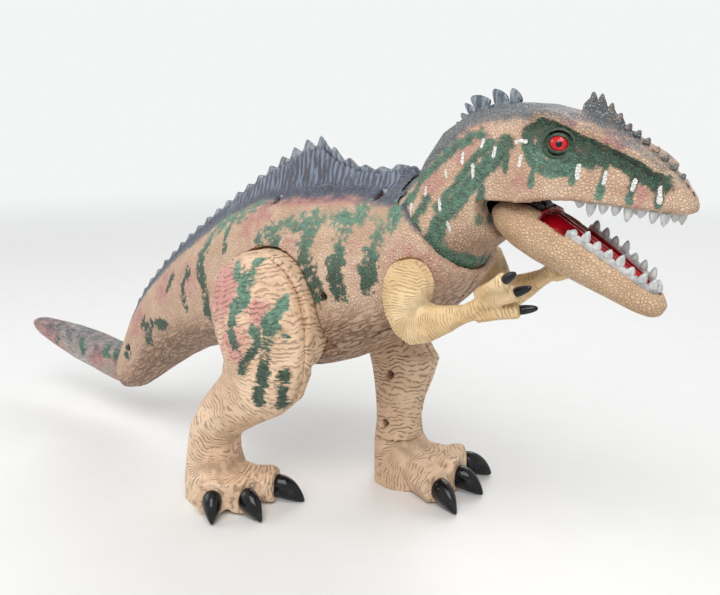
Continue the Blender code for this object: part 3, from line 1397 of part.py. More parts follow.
def make_cell(name, i):
    """Cell with a raised contact at one end, every second one turned round."""
    middle = (i - (CELL_COUNT - 1) / 2) * (2 * CELL_RADIUS + GAP)
    nub, nub_radius = (share * CELL_RADIUS for share in CELL_NUB_SHARES)
    half = CELL_LENGTH / 2
    profile = [(-half, CELL_RADIUS), (half - nub, CELL_RADIUS), (half - nub, nub_radius), (half, nub_radius)]
    facing = 1 if i % 2 == 0 else -1
    cell = turned(name, profile, (0, middle, TRAY_LOW + GAP + CELL_RADIUS), (facing, 0, 0), 12)
    return moved(cell, battery_frame())


def make_contact(name, side):
    inner = CELL_LENGTH / 2 + GAP
    ends = sorted((side * inner, side * (inner + BOARD_THICKNESS / 2)))
    half = TRAY_HALF_WIDTH - WALL
    plate = box(name, (ends[0], -half, TRAY_LOW + WALL), (ends[1], half, TRAY_LOW + 2 * CELL_RADIUS))
    return moved(plate, battery_frame())


def make_speaker():
    base = belly(SPEAKER_PLACE_SHARE) + WALL + GAP
    profile = [(tall * SPEAKER_HEIGHT, wide * SPEAKER_RADIUS) for tall, wide in SPEAKER_SHARES]
    return turned("speaker", profile, (SPEAKER_X, 0, base), (0, 0, 1), 16)


def make_circuit_board():
    rear = MOTOR_AXIS.x - MOTOR_RADIUS / 2
    low = GEARBOX_FLOOR
    base = GEARBOX_TOP + GAP
    high = (rear + BOARD_LENGTH, low + BOARD_WIDTH, base + BOARD_THICKNESS)
    board = box("circuit_board", (rear, low, base), high)
    chip = BOARD_WIDTH / 4
    for i, share in enumerate(CHIP_SHARES):
        x = rear + share * BOARD_LENGTH
        y = low + BOARD_WIDTH / 2 + (chip if i % 2 else -chip) / 2
        combine(board, box("chip", (x - chip, y - chip / 2, base + BOARD_THICKNESS / 2),
                           (x + chip, y + chip / 2, base + 2 * BOARD_THICKNESS)), "UNION")
    return board


def make_switch_body():
    floor = belly(SWITCH_PLACE_SHARE) + WALL
    made = box("switch_body", (SWITCH_X - SWITCH_HALF_LENGTH, -SWITCH_HALF_WIDTH, floor + GAP),
               (SWITCH_X + SWITCH_HALF_LENGTH, SWITCH_HALF_WIDTH, floor + 3 * WALL - GAP))
    long = SWITCH_HALF_LENGTH - WALL / 2
    wide = SWITCH_HALF_WIDTH - WALL / 2
    top = floor + 3 * WALL / 2
    return combine(made, box("inside", (SWITCH_X - long, -wide, floor - WALL), (SWITCH_X + long, wide, top)))


def make_power_switch():
    """Slider: a post through the belly with a flange that holds it inside."""
    skin = belly(SWITCH_PLACE_SHARE)
    half = SWITCH_LENGTH / 2
    top = skin + 3 * WALL / 2
    made = box("power_switch", (SWITCH_X - half, -half, skin - RUNNING_GAP), (SWITCH_X + half, half, top))
    wide = half + WALL / 3
    flange = box("flange", (SWITCH_X - wide, -wide, skin + WALL + GAP),
                 (SWITCH_X + wide, wide, skin + 2 * WALL))
    return combine(made, flange, "UNION")


# Finishes, a new one for each piece


def skin(name):
    return plastic(name + " skin", TAN, 0.55)


def arm_skin(name):
    return plastic(name + " skin", ARM_TAN, 0.50)


def smoke(name):
    return plastic(name + " smoke", SMOKE, 0.25)


def tooth(name):
    return plastic(name + " tooth", (0.80, 0.80, 0.76), 0.25)


def red_gloss(name):
    return plastic(name + " red", (0.62, 0.03, 0.03), 0.12)


def white_plastic(name):
    return plastic(name + " white", (0.86, 0.85, 0.80), 0.45)


def black_plastic(name):
    return plastic(name + " black", (0.03, 0.03, 0.03), 0.50)


def green_board(name):
    return plastic(name + " board", (0.02, 0.22, 0.08), 0.40)


def cell_wrap(name):
    return plastic(name + " wrap", (0.10, 0.10, 0.12), 0.30)


def steel(name):
    return metal(name + " steel", (0.60, 0.60, 0.62), 0.35)


def brass(name):
    return metal(name + " brass", (0.75, 0.58, 0.28), 0.30)


# Assembly


def body_pieces():
    right, left, door = make_body_shells()
    yield right, "right_body_shell", skin, None
    yield left, "left_body_shell", skin, None
    yield make_back_spines(), "back_spines", smoke, None
    yield door, "battery_door", skin, door_pivot()
    up = battery_frame().to_3x3() @ Vector((0, 0, 1))
    yield make_screw("screw", door_screw_seat(), up), "battery_door_screw", steel, door_pivot()
    for i, seat in enumerate(screw_seats()):
        yield make_screw("screw", seat, (0, 1, 0)), "body_screw_%d" % (i + 1), steel, None
    yield make_pin("pin", NECK_PIN_RADIUS, NECK, NECK_RADIUS + WALL - GAP), "neck_pin", steel, None
    yield make_tail_pin(), "tail_pin", steel, None


def inner_pieces():
    yield make_battery_tray(), "battery_tray", black_plastic, None
    for i in range(CELL_COUNT):
        yield make_cell("cell", i), "battery_cell_%d" % (i + 1), cell_wrap, None
    yield make_contact("contact", 1), "battery_contact_front", brass, None
    yield make_contact("contact", -1), "battery_contact_rear", brass, None
    yield make_motor(), "motor", steel, None
    yield make_gearbox_tray(), "gearbox_tray", white_plastic, None
    yield make_gearbox_lid(), "gearbox_lid", white_plastic, None
    yield make_axle("axle", FIRST_AXLE), "first_gear_axle", steel, None
    yield make_axle("axle", SECOND_AXLE), "second_gear_axle", steel, None
    yield make_speaker(), "speaker", black_plastic, None
    yield make_circuit_board(), "circuit_board", green_board, None
    yield make_switch_body(), "switch_body", black_plastic, None
    yield make_power_switch(), "power_switch", black_plastic, body_place((SWITCH_PLACE_SHARE, 0))


def turning_pieces():
    yield make_motor_pinion(), "motor_pinion", brass, MOTOR_AXIS
    yield compound_gear("gear", FIRST_AXLE, 0), "first_gear", white_plastic, FIRST_AXLE
    yield compound_gear("gear", SECOND_AXLE, 1), "second_gear", white_plastic, SECOND_AXLE
    yield make_output_gear(), "output_gear", steel, CRANK
    yield make_crank("crank", -1, 0.0), "right_crank", white_plastic, CRANK
    yield make_crank("crank", 1, math.pi), "left_crank", white_plastic, CRANK


def head_pieces():
    right, left = make_head_shells()
    yield right, "right_head_shell", skin, NECK
    yield left, "left_head_shell", skin, NECK
    yield make_neck_spines(), "neck_spines", smoke, NECK
    yield make_eye("eye", -1), "right_eye", red_gloss, NECK
    yield make_eye("eye", 1), "left_eye", red_gloss, NECK
    yield make_upper_teeth(), "upper_teeth", tooth, NECK
    yield make_pin("pin", JAW_PIN_RADIUS, JAW_HINGE, JAW_PIN_SHARE * JAW_WIDTH), "jaw_pin", steel, NECK
    yield make_lower_jaw(), "lower_jaw", skin, JAW_HINGE
    yield make_lower_teeth(), "lower_teeth", tooth, JAW_HINGE
    yield make_tongue(), "tongue", red_gloss, JAW_HINGE


def limb_pieces():
    plans = [
        ("right", -1, RIGHT_LEG_SHARES, RIGHT_LEAN_SHARE, RIGHT_FOOT_SHARE, RIGHT_TOES, RIGHT_SCREW_SHARES,
         RIGHT_ARM_RAISE_DEGREES),
        ("left", 1, LEFT_LEG_SHARES, LEFT_LEAN_SHARE, LEFT_FOOT_SHARE, LEFT_TOES, LEFT_SCREW_SHARES,
         LEFT_ARM_RAISE_DEGREES),
    ]
    for label, side, rows, lean, foot, toes, screws, lift in plans:
        outer, inner = make_leg(rows, side, lean, foot, toes, screws)
        yield outer, label + "_leg_outer", skin, HIP
        yield inner, label + "_leg_inner", skin, HIP
        yield make_hip_pin("pin", side), label + "_hip_pin", steel, HIP
        for i, seat in enumerate(leg_seats(screws, side)):
            yield make_screw("screw", seat, (0, side, 0)), "%s_leg_screw_%d" % (label, i + 1), steel, HIP
        yield make_arm("arm", side, lift), label + "_arm", arm_skin, SHOULDER
    yield make_tail_tip(), "tail_tip", skin, TAIL_JOINT


def door_pivot():
    return body_place(BATTERY_PLACE_SHARES)


def centred(pieces):
    """Moves everything along X so that the middle of its length stands at the origin."""
    places = [vertex.co.x for made, _ in pieces for vertex in made.data.vertices]
    shift = Vector((-(min(places) + max(places)) / 2, 0, 0))
    for made, pivot in pieces:
        origin = pivot + shift if pivot else Vector()
        moved(made, Matrix.Translation(shift - origin))
        made.location = origin


def build():
    for old in list(bpy.data.objects):
        bpy.data.objects.remove(old)
    pieces = []
    for group in (body_pieces, inner_pieces, turning_pieces, head_pieces, limb_pieces):
        for made, name, finish, pivot in group():
            pieces.append((finished(made, name, finish(name)), pivot))
    centred(pieces)


build()
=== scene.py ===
# %% [markdown]
# # A walking toy dinosaur, painted and textured
# The real toy is a hollow figure of soft-looking but hard plastic. Its skin is moulded with
# pebble scales and wrinkles, sprayed tan, washed with brown in the creases, and painted with
# green stripes and a blue-grey back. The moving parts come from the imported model. Here each of
# them gets the surface, the small pieces and the paint that the mould and the spray gun give.

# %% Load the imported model
import json
import math

import bmesh
import bpy
import numpy as np
from mathutils import Matrix, Vector
from mathutils.kdtree import KDTree


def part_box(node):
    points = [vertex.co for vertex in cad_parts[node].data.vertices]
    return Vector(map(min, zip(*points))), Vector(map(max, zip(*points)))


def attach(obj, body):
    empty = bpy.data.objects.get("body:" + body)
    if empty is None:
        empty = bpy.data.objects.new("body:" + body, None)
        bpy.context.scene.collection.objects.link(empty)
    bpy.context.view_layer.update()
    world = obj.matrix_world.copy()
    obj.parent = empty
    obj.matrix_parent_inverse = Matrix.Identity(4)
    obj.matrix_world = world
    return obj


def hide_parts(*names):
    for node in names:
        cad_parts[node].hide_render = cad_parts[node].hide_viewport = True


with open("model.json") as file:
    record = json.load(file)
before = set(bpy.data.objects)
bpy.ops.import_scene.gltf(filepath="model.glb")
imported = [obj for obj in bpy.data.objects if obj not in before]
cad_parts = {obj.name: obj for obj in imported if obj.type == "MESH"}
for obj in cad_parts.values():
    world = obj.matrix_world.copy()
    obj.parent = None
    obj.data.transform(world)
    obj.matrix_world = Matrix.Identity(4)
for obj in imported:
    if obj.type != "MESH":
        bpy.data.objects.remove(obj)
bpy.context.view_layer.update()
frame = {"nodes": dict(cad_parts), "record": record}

nodes = frame["nodes"]

# %% [markdown]
# ## Camera
# The photograph was taken from in front of the figure's right shoulder, a little above it. The
# lens is a slight telephoto one, so that the near foot is not much larger than the far one.

# %% Camera
MM = 0.001


def aim(thing, place, target):
    """Puts a lamp or camera at a place and points it at a target."""
    thing.location = place
    thing.rotation_euler = (Vector(target) - Vector(place)).to_track_quat("-Z", "Y").to_euler()


camera_place = Vector((0.34929, -0.35079, 0.2170))
tilt, turn = math.radians(12.6), math.radians(38.0)
sight = Vector((-math.sin(turn) * math.cos(tilt), math.cos(turn) * math.cos(tilt), -math.sin(tilt)))
bpy.ops.object.camera_add()
camera = bpy.context.object
camera.name = "camera"
camera.data.lens = 42.5
camera.data.clip_start = 0.01
aim(camera, camera_place, camera_place + sight)
bpy.context.scene.camera = camera

# %% [markdown]
# ## Floor and lamps
# A toy this glossy in places needs large soft lamps: small ones would leave hard white dots on
# the claws. One big soft panel stands above and in front, a weaker one fills the shade from the
# tail's side, and a third one behind draws an edge along the back. The floor glows a little more
# with every step away from the figure, so that it fades into the white of the room and no
# horizon shows, while the shadow near the feet stays.

# %% Helpers for materials
def new_material(name):
    material = bpy.data.materials.new(name)
    material.use_nodes = True
    return material, material.node_tree, material.node_tree.nodes["Principled BSDF"]


def socket(tree, target, value):
    """Feeds a node's input: from another node's output, or with a plain value."""
    if isinstance(value, bpy.types.NodeSocket):
        tree.links.new(value, target)
    elif isinstance(value, (tuple, list)) and len(value) == 3 and target.type == "RGBA":
        target.default_value = (*value, 1.0)
    else:
        target.default_value = value


def add(tree, kind, inputs=None, output=0, **settings):
    """Adds a shader node, sets it up and returns one of its outputs, by number or name."""
    node = tree.nodes.new(kind)
    for key, value in settings.items():
        setattr(node, key, value)
    for key, value in (inputs or {}).items():
        socket(tree, node.inputs[key], value)
    return node.outputs[output]


def blend_colour(tree, factor, first, second):
    """Mixes two colours: the second shows where the factor is 1."""
    node = tree.nodes.new("ShaderNodeMix")
    node.data_type = "RGBA"
    # The Mix node has separate sockets for numbers, vectors and colours: these are its colour ones
    for number, value in ((0, factor), (6, first), (7, second)):
        socket(tree, node.inputs[number], value)
    return node.outputs[2]


def math_of(tree, operation, first, second=0.0, third=0.0):
    node = tree.nodes.new("ShaderNodeMath")
    node.operation = operation
    for slot, value in zip(node.inputs, (first, second, third)):
        socket(tree, slot, value)
    return node.outputs[0]


def ramp(tree, value, low, high):
    """0 below the low limit, 1 above the high one, a soft step between."""
    return add(tree, "ShaderNodeMapRange", {"Value": value, "From Min": low, "From Max": high},
               interpolation_type="SMOOTHSTEP")


def object_place(tree):
    """Object coordinates, which stay with a piece in every pose."""
    return add(tree, "ShaderNodeTexCoord", output="Object")


def noise(tree, place, scale, detail=2.0, rough=0.5, output=0):
    """Soft random clouds from 0 to 1; a higher scale makes them smaller."""
    inputs = {"Vector": place, "Scale": scale, "Detail": detail, "Roughness": rough}
    return add(tree, "ShaderNodeTexNoise", inputs, output=output)


def bump(tree, shader, height, strength, distance):
    """Relief in the light only, for grain too fine to model; the distance is in metres."""
    inputs = {"Height": height, "Strength": strength, "Distance": distance}
    socket(tree, shader.inputs["Normal"], add(tree, "ShaderNodeBump", inputs))


# %% Floor and lamps
PALE_ROOM = {"Color": (0.90, 0.91, 0.91, 1.0), "Strength": 1.0}
FADE_START, FADE_END = 0.25, 1.9
LAMPS_LOOK_AT = (0.03, 0, 0.10)


def background_rays(tree):
    """1 for rays of the camera, of gloss and through clear plastic: these see the pale background."""
    seen = add(tree, "ShaderNodeLightPath", output="Is Camera Ray")
    for ray in ("Is Glossy Ray", "Is Transmission Ray"):
        seen = math_of(tree, "MAXIMUM", seen, add(tree, "ShaderNodeLightPath", output=ray))
    return seen


bpy.ops.object.select_all(action="DESELECT")
bpy.ops.mesh.primitive_circle_add(vertices=64, radius=6.0, fill_type="NGON")
floor = bpy.context.object
floor.name = "floor"
material, tree, shader = new_material("pale floor")
place = object_place(tree)
paper = blend_colour(tree, noise(tree, place, 40.0, 3.0), (0.79, 0.79, 0.78), (0.83, 0.83, 0.82))
socket(tree, shader.inputs["Base Color"], paper)
shader.inputs["Roughness"].default_value = 0.5
away = add(tree, "ShaderNodeVectorMath", {0: place}, output="Value", operation="LENGTH")
far = math_of(tree, "MULTIPLY", ramp(tree, away, FADE_START, FADE_END), background_rays(tree))
glow = add(tree, "ShaderNodeEmission", PALE_ROOM)
mixed = add(tree, "ShaderNodeMixShader", {0: far, 1: shader.outputs[0], 2: glow})
socket(tree, tree.nodes["Material Output"].inputs["Surface"], mixed)
floor.data.materials.append(material)


def area_lamp(name, place, size, power):
    bpy.ops.object.light_add(type="AREA")
    lamp = bpy.context.object
    lamp.name = name
    lamp.data.shape = "SQUARE"
    lamp.data.size = size
    lamp.data.energy = power
    aim(lamp, place, LAMPS_LOOK_AT)


area_lamp("key lamp", (0.55, -0.75, 1.05), 0.9, 14.0)
area_lamp("fill lamp", (-0.90, -0.55, 0.70), 0.8, 4.5)
area_lamp("back lamp", (-0.20, 0.95, 1.00), 0.8, 6.0)
world = bpy.data.worlds.new("pale room")
world.use_nodes = True
tree = world.node_tree
room = tree.nodes["Background"]
room.inputs["Color"].default_value = (0.86, 0.87, 0.88, 1)
room.inputs["Strength"].default_value = 0.43
white = add(tree, "ShaderNodeBackground", PALE_ROOM)
mixed = add(tree, "ShaderNodeMixShader", {0: background_rays(tree), 1: room.outputs[0], 2: white})
socket(tree, tree.nodes["World Output"].inputs["Surface"], mixed)
bpy.context.scene.world = world
bpy.context.scene.view_settings.view_transform = "Standard"

# %% [markdown]
# ## Skin pieces with even faces
# A mould is sculpted in clay first, so no flat facets show on the real toy. Each skin piece is
# a copy of its model node whose faces are made anew at one even size. The facets between the
# hard rims are then smoothed away, while the rims of pockets, screw wells and seams stay.

# %% Helpers for meshes
def only(piece):
    """Makes one object the selected and active one."""
    bpy.ops.object.select_all(action="DESELECT")
    piece.select_set(True)
    bpy.context.view_layer.objects.active = piece


def apply(piece, kind, **settings):
    """Adds a modifier, sets it up and applies it."""
    only(piece)
    modifier = piece.modifiers.new(kind, kind)
    for key, value in settings.items():
        setattr(modifier, key, value)
    bpy.ops.object.modifier_apply(modifier=modifier.name)


def join(pieces):
    """Joins pieces into the first of them."""
    only(pieces[0])
    for piece in pieces[1:]:
        piece.select_set(True)
    bpy.ops.object.join()
    return pieces[0]


def give(piece, material):
    """Makes a material the piece's only one."""
    piece.data.materials.clear()
    piece.data.materials.append(material)


def places_of(piece):
    places = np.empty(len(piece.data.vertices) * 3, np.float32)
    piece.data.vertices.foreach_get("co", places)
    return places.reshape(-1, 3).astype(float)


def normals_of(piece):
    normals = np.empty(len(piece.data.vertices) * 3, np.float32)
    piece.data.vertex_normals.foreach_get("vector", normals)
    return normals.reshape(-1, 3).astype(float)


def set_places(piece, places):
    piece.data.vertices.foreach_set("co", places.astype(np.float32).ravel())
    piece.data.update()


def rims_of(piece, degrees):
    """Points along the hard edges of a mesh."""
    mesh = bmesh.new()
    mesh.from_mesh(piece.data)
    points = []
    for edge in mesh.edges:
        if len(edge.link_faces) == 2 and edge.calc_face_angle(0.0) > math.radians(degrees):
            one, two = (vertex.co for vertex in edge.verts)
            steps = max(2, int((two - one).length / (1.5 * MM)))
            points += [one.lerp(two, i / steps) for i in range(steps + 1)]
    mesh.free()
    return points


WELD = 0.00002
RIM_KEPT = 1.2


def even_copy(node, size, keep=38.0, reach=4.0, rounds=40):
    """Merged copy of a node with even faces, smooth except near its hard rims."""
    piece = bpy.data.objects.new(node + "_skin", nodes[node].data.copy())
    bpy.context.scene.collection.objects.link(piece)
    piece.data.materials.clear()
    only(piece)
    bpy.ops.object.mode_set(mode="EDIT")
    bpy.ops.mesh.select_all(action="SELECT")
    bpy.ops.mesh.remove_doubles(threshold=WELD)
    bpy.ops.object.mode_set(mode="OBJECT")
    rims = rims_of(piece, keep)
    apply(piece, "REMESH", mode="VOXEL", voxel_size=size * MM)
    tree = KDTree(len(rims))
    for i, point in enumerate(rims):
        tree.insert(point, i)
    tree.balance()
    group = piece.vertex_groups.new(name="soft")
    for i, place in enumerate(places_of(piece)):
        away = tree.find(place)[2] / MM if rims else 99.0
        group.add([i], min(1.0, max(0.0, (away - RIM_KEPT) / reach)), "REPLACE")
    apply(piece, "SMOOTH", factor=0.5, iterations=rounds, vertex_group="soft")
    apply(piece, "SMOOTH", factor=0.5, iterations=2)
    piece.vertex_groups.clear()
    bpy.ops.object.shade_smooth()
    return piece


# %% Copy the skin nodes
FACE = 1.2
SKIN_NODES = ("right_body_shell", "left_body_shell", "battery_door", "right_head_shell", "left_head_shell",
              "lower_jaw", "right_leg_outer", "right_leg_inner", "left_leg_outer", "left_leg_inner",
              "right_arm", "left_arm", "tail_tip")
skins = {}
for node in SKIN_NODES:
    small = "arm" in node or "jaw" in node or "head" in node
    rounds = 9 if "head" in node else 16 if "leg" in node else 30
    skins[node] = even_copy(node, FACE * (0.7 if small else 1.0), rounds=rounds)
print("skin faces:", {node: len(piece.data.polygons) for node, piece in skins.items()})

# %% [markdown]
# ## Larger forms of the sculpture
# Brow ridges, lip edges, knobs, folds and the row of square scutes are too large for a bump
# texture, because they catch the light and show in the outline. Each is a line in the side view.
# Every vertex near it moves out or in along its own normal by a soft amount.

# %% Raised and sunken lines
def line_distance(places, line):
    """Distance in millimetres of each place to a line drawn in the side view."""
    spots = places[:, (0, 2)] / MM
    best = np.full(len(spots), 1e9)
    for one, two in zip(line, line[1:]):
        start, run = np.array(one, float), np.array(two, float) - np.array(one, float)
        along = np.clip(((spots - start) @ run) / (run @ run), 0, 1)
        best = np.minimum(best, np.linalg.norm(spots - start - along[:, None] * run, axis=1))
    return best


def raise_lines(piece, marks):
    """Moves the skin out along lines: (points, half width, height), all in millimetres."""
    places, normals = places_of(piece), normals_of(piece)
    amount = np.zeros(len(places))
    for line, half, height in marks:
        # A single point is drawn as a very short line
        line = line if len(line) > 1 else [line[0], (line[0][0] + 0.01, line[0][1])]
        amount += height * np.exp(-(line_distance(places, line) / half) ** 2)
    facing = np.clip(1.6 * np.abs(normals[:, 1]), 0, 1)
    set_places(piece, places + normals * (amount * facing * MM)[:, None])


def scute_row(x, height):
    """Height at x of a row of scutes on the shoulder: the rows rise a little to the front."""
    return height + (x - 48) * 0.085


BROW = [(181, 214), (185, 214.5), (192, 212.4), (200, 209.1), (207, 206.6), (214, 203.4), (220, 200.4),
        (227, 197), (233, 193)]
HEAD_FORMS = [
    (BROW, 1.7, 2.9),
    ([(x, z - 3.9) for x, z in BROW], 2.0, -2.0),
    ([(176, 178), (190, 180.5), (205, 180), (225, 178.5), (244, 177.5)], 1.6, 0.8),
    ([(186, 197.5), (190, 195.4), (195, 195.0), (199, 197.0)], 1.1, 0.8),
    ([(184, 195), (189, 192.2), (196, 192.0), (201, 195.5)], 1.0, 0.6),
    ([(240.4, 184.8)], 1.6, -1.2),
    ([(238.0, 187.2), (241.5, 187.4)], 1.2, 0.7),
]
# A row of small knobs along the upper lip
HEAD_FORMS += [([(x, 181.5 - 0.03 * (x - 175) + 0.8 * math.sin(x))], 1.9, 0.7)
               for x in np.arange(176, 243, 4.4)]
JAW_FORMS = [([(173.7, 164.3)], 4.0, 1.3), ([(173.7, 164.3)], 1.6, -0.5),
             ([(184, 169), (194, 165.5), (204, 159), (214, 151), (225, 144)], 1.6, 0.5)]
BODY_FORMS = [([(x, scute_row(x, 167.2))], 1.9, 0.9) for x in np.arange(33, 97, 4.6)]
BODY_FORMS += [([(x, scute_row(x, 171.9))], 1.6, 0.6) for x in np.arange(35, 97, 4.6)]
BODY_FORMS += [
    ([(88, 103), (92, 107.5), (102, 112), (111, 112.4), (118, 108)], 2.0, 1.0),
    ([(84, 97), (92, 102.5), (104, 107), (116, 103)], 1.8, 0.9),
    ([(80, 104), (86, 110), (96, 115.5), (108, 116.5)], 1.6, 0.6),
    ([(118, 121), (124, 113), (136, 108)], 1.8, 0.7),
    ([(120, 128), (130, 120), (142, 114)], 1.6, 0.6),
]
LEG_FORMS = [([(52, 131.5), (56, 130.0), (60, 130.2), (64, 132.1)], 1.5, -1.0),
             ([(50, 128), (58, 126.3), (66, 129)], 1.6, 0.7)]
# Height of the middle of the snout, and the notches between its crest points: (x, depth)
CREST_LINE = [(193, 212), (196.5, 218.5), (199, 222), (204, 221.5), (208.6, 218), (217, 209.6), (225, 204.2),
              (231, 199.3), (237.5, 194), (243, 188)]
NOTCHES = ((202.2, 2.2), (206.6, 2.2), (210.8, 1.6), (215.0, 1.3), (219.2, 1.2), (223.3, 1.1), (227.4, 1.0),
           (231.5, 1.0), (235.4, 0.9))


def notch_crest(piece):
    """Cuts soft notches across the top of the snout."""
    places = places_of(piece)
    xs, ys, zs = (places / MM).T
    top = np.interp(xs, *zip(*CREST_LINE))
    near_top = np.clip((zs - top + 6) / 3, 0, 1) * np.clip((8 - np.abs(ys)) / 4, 0, 1)
    for x, depth in NOTCHES:
        places[:, 2] -= depth * MM * near_top * np.exp(-((xs - x) / 1.0) ** 2)
    set_places(piece, places)


FORMS = (("head", HEAD_FORMS), ("jaw", JAW_FORMS), ("body", BODY_FORMS), ("leg_outer", LEG_FORMS))
for node, piece in skins.items():
    if "head" in node:
        notch_crest(piece)
    for word, forms in FORMS:
        if word in node:
            raise_lines(piece, forms)
            print(node, "has", len(forms), "raised or sunken lines")

# %% [markdown]
# ## Where the paint goes
# The stripes are strokes of an airbrush, so each is kept as a short line with a width. For every
# vertex the distance to the nearest line gives how much paint it has, and the material later
# breaks up the edges. The photograph shows one flank, and the other one gets the same marks.

# %% Marks on the body, legs, tail and head
# Each mark: points (x, z) in millimetres along it, and its half width
BODY_STRIPES = [
    ([(117, 168), (113, 162), (110, 155), (108, 147), (107, 136)], 4.2),
    ([(95, 167), (90, 161), (88, 154), (88, 147), (88, 138), (92, 129)], 4.0),
    ([(67, 163), (65, 158), (66, 152), (68, 143), (71, 136), (76, 129), (79, 124)], 4.4),
    ([(49, 160), (44, 156), (45, 149), (45, 146)], 3.2),
    ([(-1, 156), (0, 148), (3, 140)], 2.2),
    ([(-16, 145), (-18, 135), (-14, 125), (-9, 116), (-7, 103)], 3.6),
    ([(-32, 124), (-35, 116), (-31, 104)], 2.8),
    ([(-50, 116), (-54, 108)], 2.4),
    ([(109, 166), (95, 164), (79, 163.5), (67, 162)], 3.0),
    ([(68, 161), (50, 158), (37, 153), (31, 150)], 3.4),
    ([(16, 164), (8, 159), (-6, 154), (-16, 147)], 3.0),
    ([(-83, 83), (-75, 80), (-79, 74)], 3.6),
    ([(-77, 82), (-68, 85), (-54, 87)], 2.8),
    ([(-108, 60), (-112, 54)], 2.4),
]
LEG_STRIPES = [
    ([(37, 138), (45, 131), (45, 124), (40, 117), (37, 106), (40, 100), (44, 97)], 2.6),
    ([(49, 140), (48, 132), (47, 124), (43, 118)], 2.0),
    ([(68, 125), (66, 118), (60, 114), (63, 107), (61, 97), (60, 89), (59, 82)], 2.2),
    ([(54, 108), (56, 102), (51, 94), (45, 86)], 2.4),
    ([(61, 104), (60, 94), (57, 81), (55, 71)], 2.2),
    ([(70, 87), (68, 79), (64, 68)], 2.0),
    ([(63, 112), (70, 106)], 1.7),
]
TAIL_STRIPES = [
    ([(-172, 53), (-169, 47)], 3.0),
    ([(-143, 50), (-134, 48)], 3.4),
    ([(-200, 50), (-206, 46)], 2.2),
]
HEAD_MASK = [
    ([(186, 209.5), (192, 207.5), (202, 203.5), (212, 199.5), (222, 195.5), (230, 191), (235, 186.5)], 4.3),
    ([(182, 206), (186, 203), (192, 201), (200, 200), (210, 197)], 5.6),
    ([(181, 203), (183, 196), (190, 192), (198, 193), (203, 197)], 3.8),
    ([(184, 193), (183, 185)], 1.7),
    ([(202, 196), (201, 187)], 1.7),
    ([(214, 195), (212, 182)], 2.0),
    ([(225, 191), (224, 180)], 2.0),
    ([(235, 188), (235, 179)], 1.8),
    ([(172, 200), (171, 190)], 1.9),
]
NECK_MARKS = [
    ([(156, 206), (146, 201), (136, 193), (125, 183), (122, 175)], 3.0),
    ([(171, 202), (166, 195), (159, 189), (153, 182), (147, 174), (140, 166), (137, 158), (140, 150),
      (146, 147)], 4.6),
    ([(163, 202), (157, 197), (151, 188), (146, 182), (138, 172)], 2.6),
    ([(160, 183), (160, 175), (159, 167)], 2.0),
    ([(132, 176), (128, 166), (130, 158)], 2.6),
]
WHITE_DASHES = [
    ([(175, 202.5), (177, 203.4), (180, 203)], 0.62), ([(178, 197), (177.6, 193)], 0.6),
    ([(165.5, 200), (165, 196.5)], 0.5), ([(155, 192), (155.5, 187)], 0.5),
    ([(158.5, 203), (158.5, 200)], 0.45), ([(149.3, 197), (149.6, 193)], 0.45),
    ([(141, 189.5), (142, 186.5)], 0.45), ([(139, 176.5), (140, 171.5)], 0.55),
    ([(130.3, 181), (131, 177.5)], 0.45), ([(124, 173), (125, 168)], 0.45),
    ([(203.4, 193.8), (203, 189)], 0.62), ([(214.2, 191.5), (213.8, 187)], 0.62),
    ([(225.5, 188.6), (224.8, 185)], 0.6), ([(235, 186), (235.2, 180.5)], 0.62),
    ([(144, 166), (145, 162)], 0.5),
]
# The body's back and the neck and head are blue-grey over these heights
BACK_LINE = [(-130, 56), (-110, 80), (-90, 101), (-70, 116), (-48, 131), (-38, 136), (-25, 145), (-12, 153),
             (1, 159), (15, 165), (30, 167), (44, 169), (58, 171), (85, 172), (102, 170), (118, 170),
             (135, 160)]
NAPE_LINE = [(110, 168), (124, 184), (135, 195), (145, 204), (154, 210), (169, 212), (179, 211), (184, 214.6),
             (192, 214.2), (200, 211.8), (214, 205.8), (227, 199.8), (236, 193.6), (243, 186)]
# The skin is much darker brown under this one, towards the belly
WASH_LINE = [(-130, 36), (-113, 43), (-102, 54), (-88, 68), (-66, 80), (-37, 92), (-15, 98), (10, 100),
             (50, 104), (80, 116), (92, 119), (108, 122), (118, 125), (130, 131), (145, 138), (160, 142)]


def paint(places, marks, soft=2.2):
    """Amount of paint from 0 to 1: 0.5 at a mark's edge, fading over a soft rim."""
    amount = np.zeros(len(places))
    for line, half in marks:
        amount = np.maximum(amount, np.clip(0.5 + (half - line_distance(places, line)) / (2 * soft), 0, 1))
    return amount


def above(places, line, soft):
    """0 well under a line in the side view, 1 well over it."""
    xs, zs = zip(*line)
    rise = places[:, 2] / MM - np.interp(places[:, 0] / MM, xs, zs)
    return np.clip(0.5 + rise / (2 * soft), 0, 1)


def keep_amount(piece, name, amount):
    attribute = piece.data.attributes.new(name, "FLOAT", "POINT")
    attribute.data.foreach_set("value", np.ascontiguousarray(amount, np.float32))


def spot(places, x, z, radius):
    """Soft round spot in the side view."""
    away = np.hypot(places[:, 0] / MM - x, places[:, 2] / MM - z)
    return np.clip(1.3 * (1 - away / radius), 0, 1)


def spots_of(places, spots):
    """The strongest at each place of several soft spots: (x, z, radius, strength)."""
    return np.maximum.reduce([strength * spot(places, x, z, radius) for x, z, radius, strength in spots])


# %% [markdown]
# Wrinkles run across a limb, whichever way the limb points. So each vertex of a leg or an arm is
# told how far along its limb it lies. Near a knee or an elbow the two parts' distances are mixed,
# which spreads the wrinkles like a fan, as skin does.

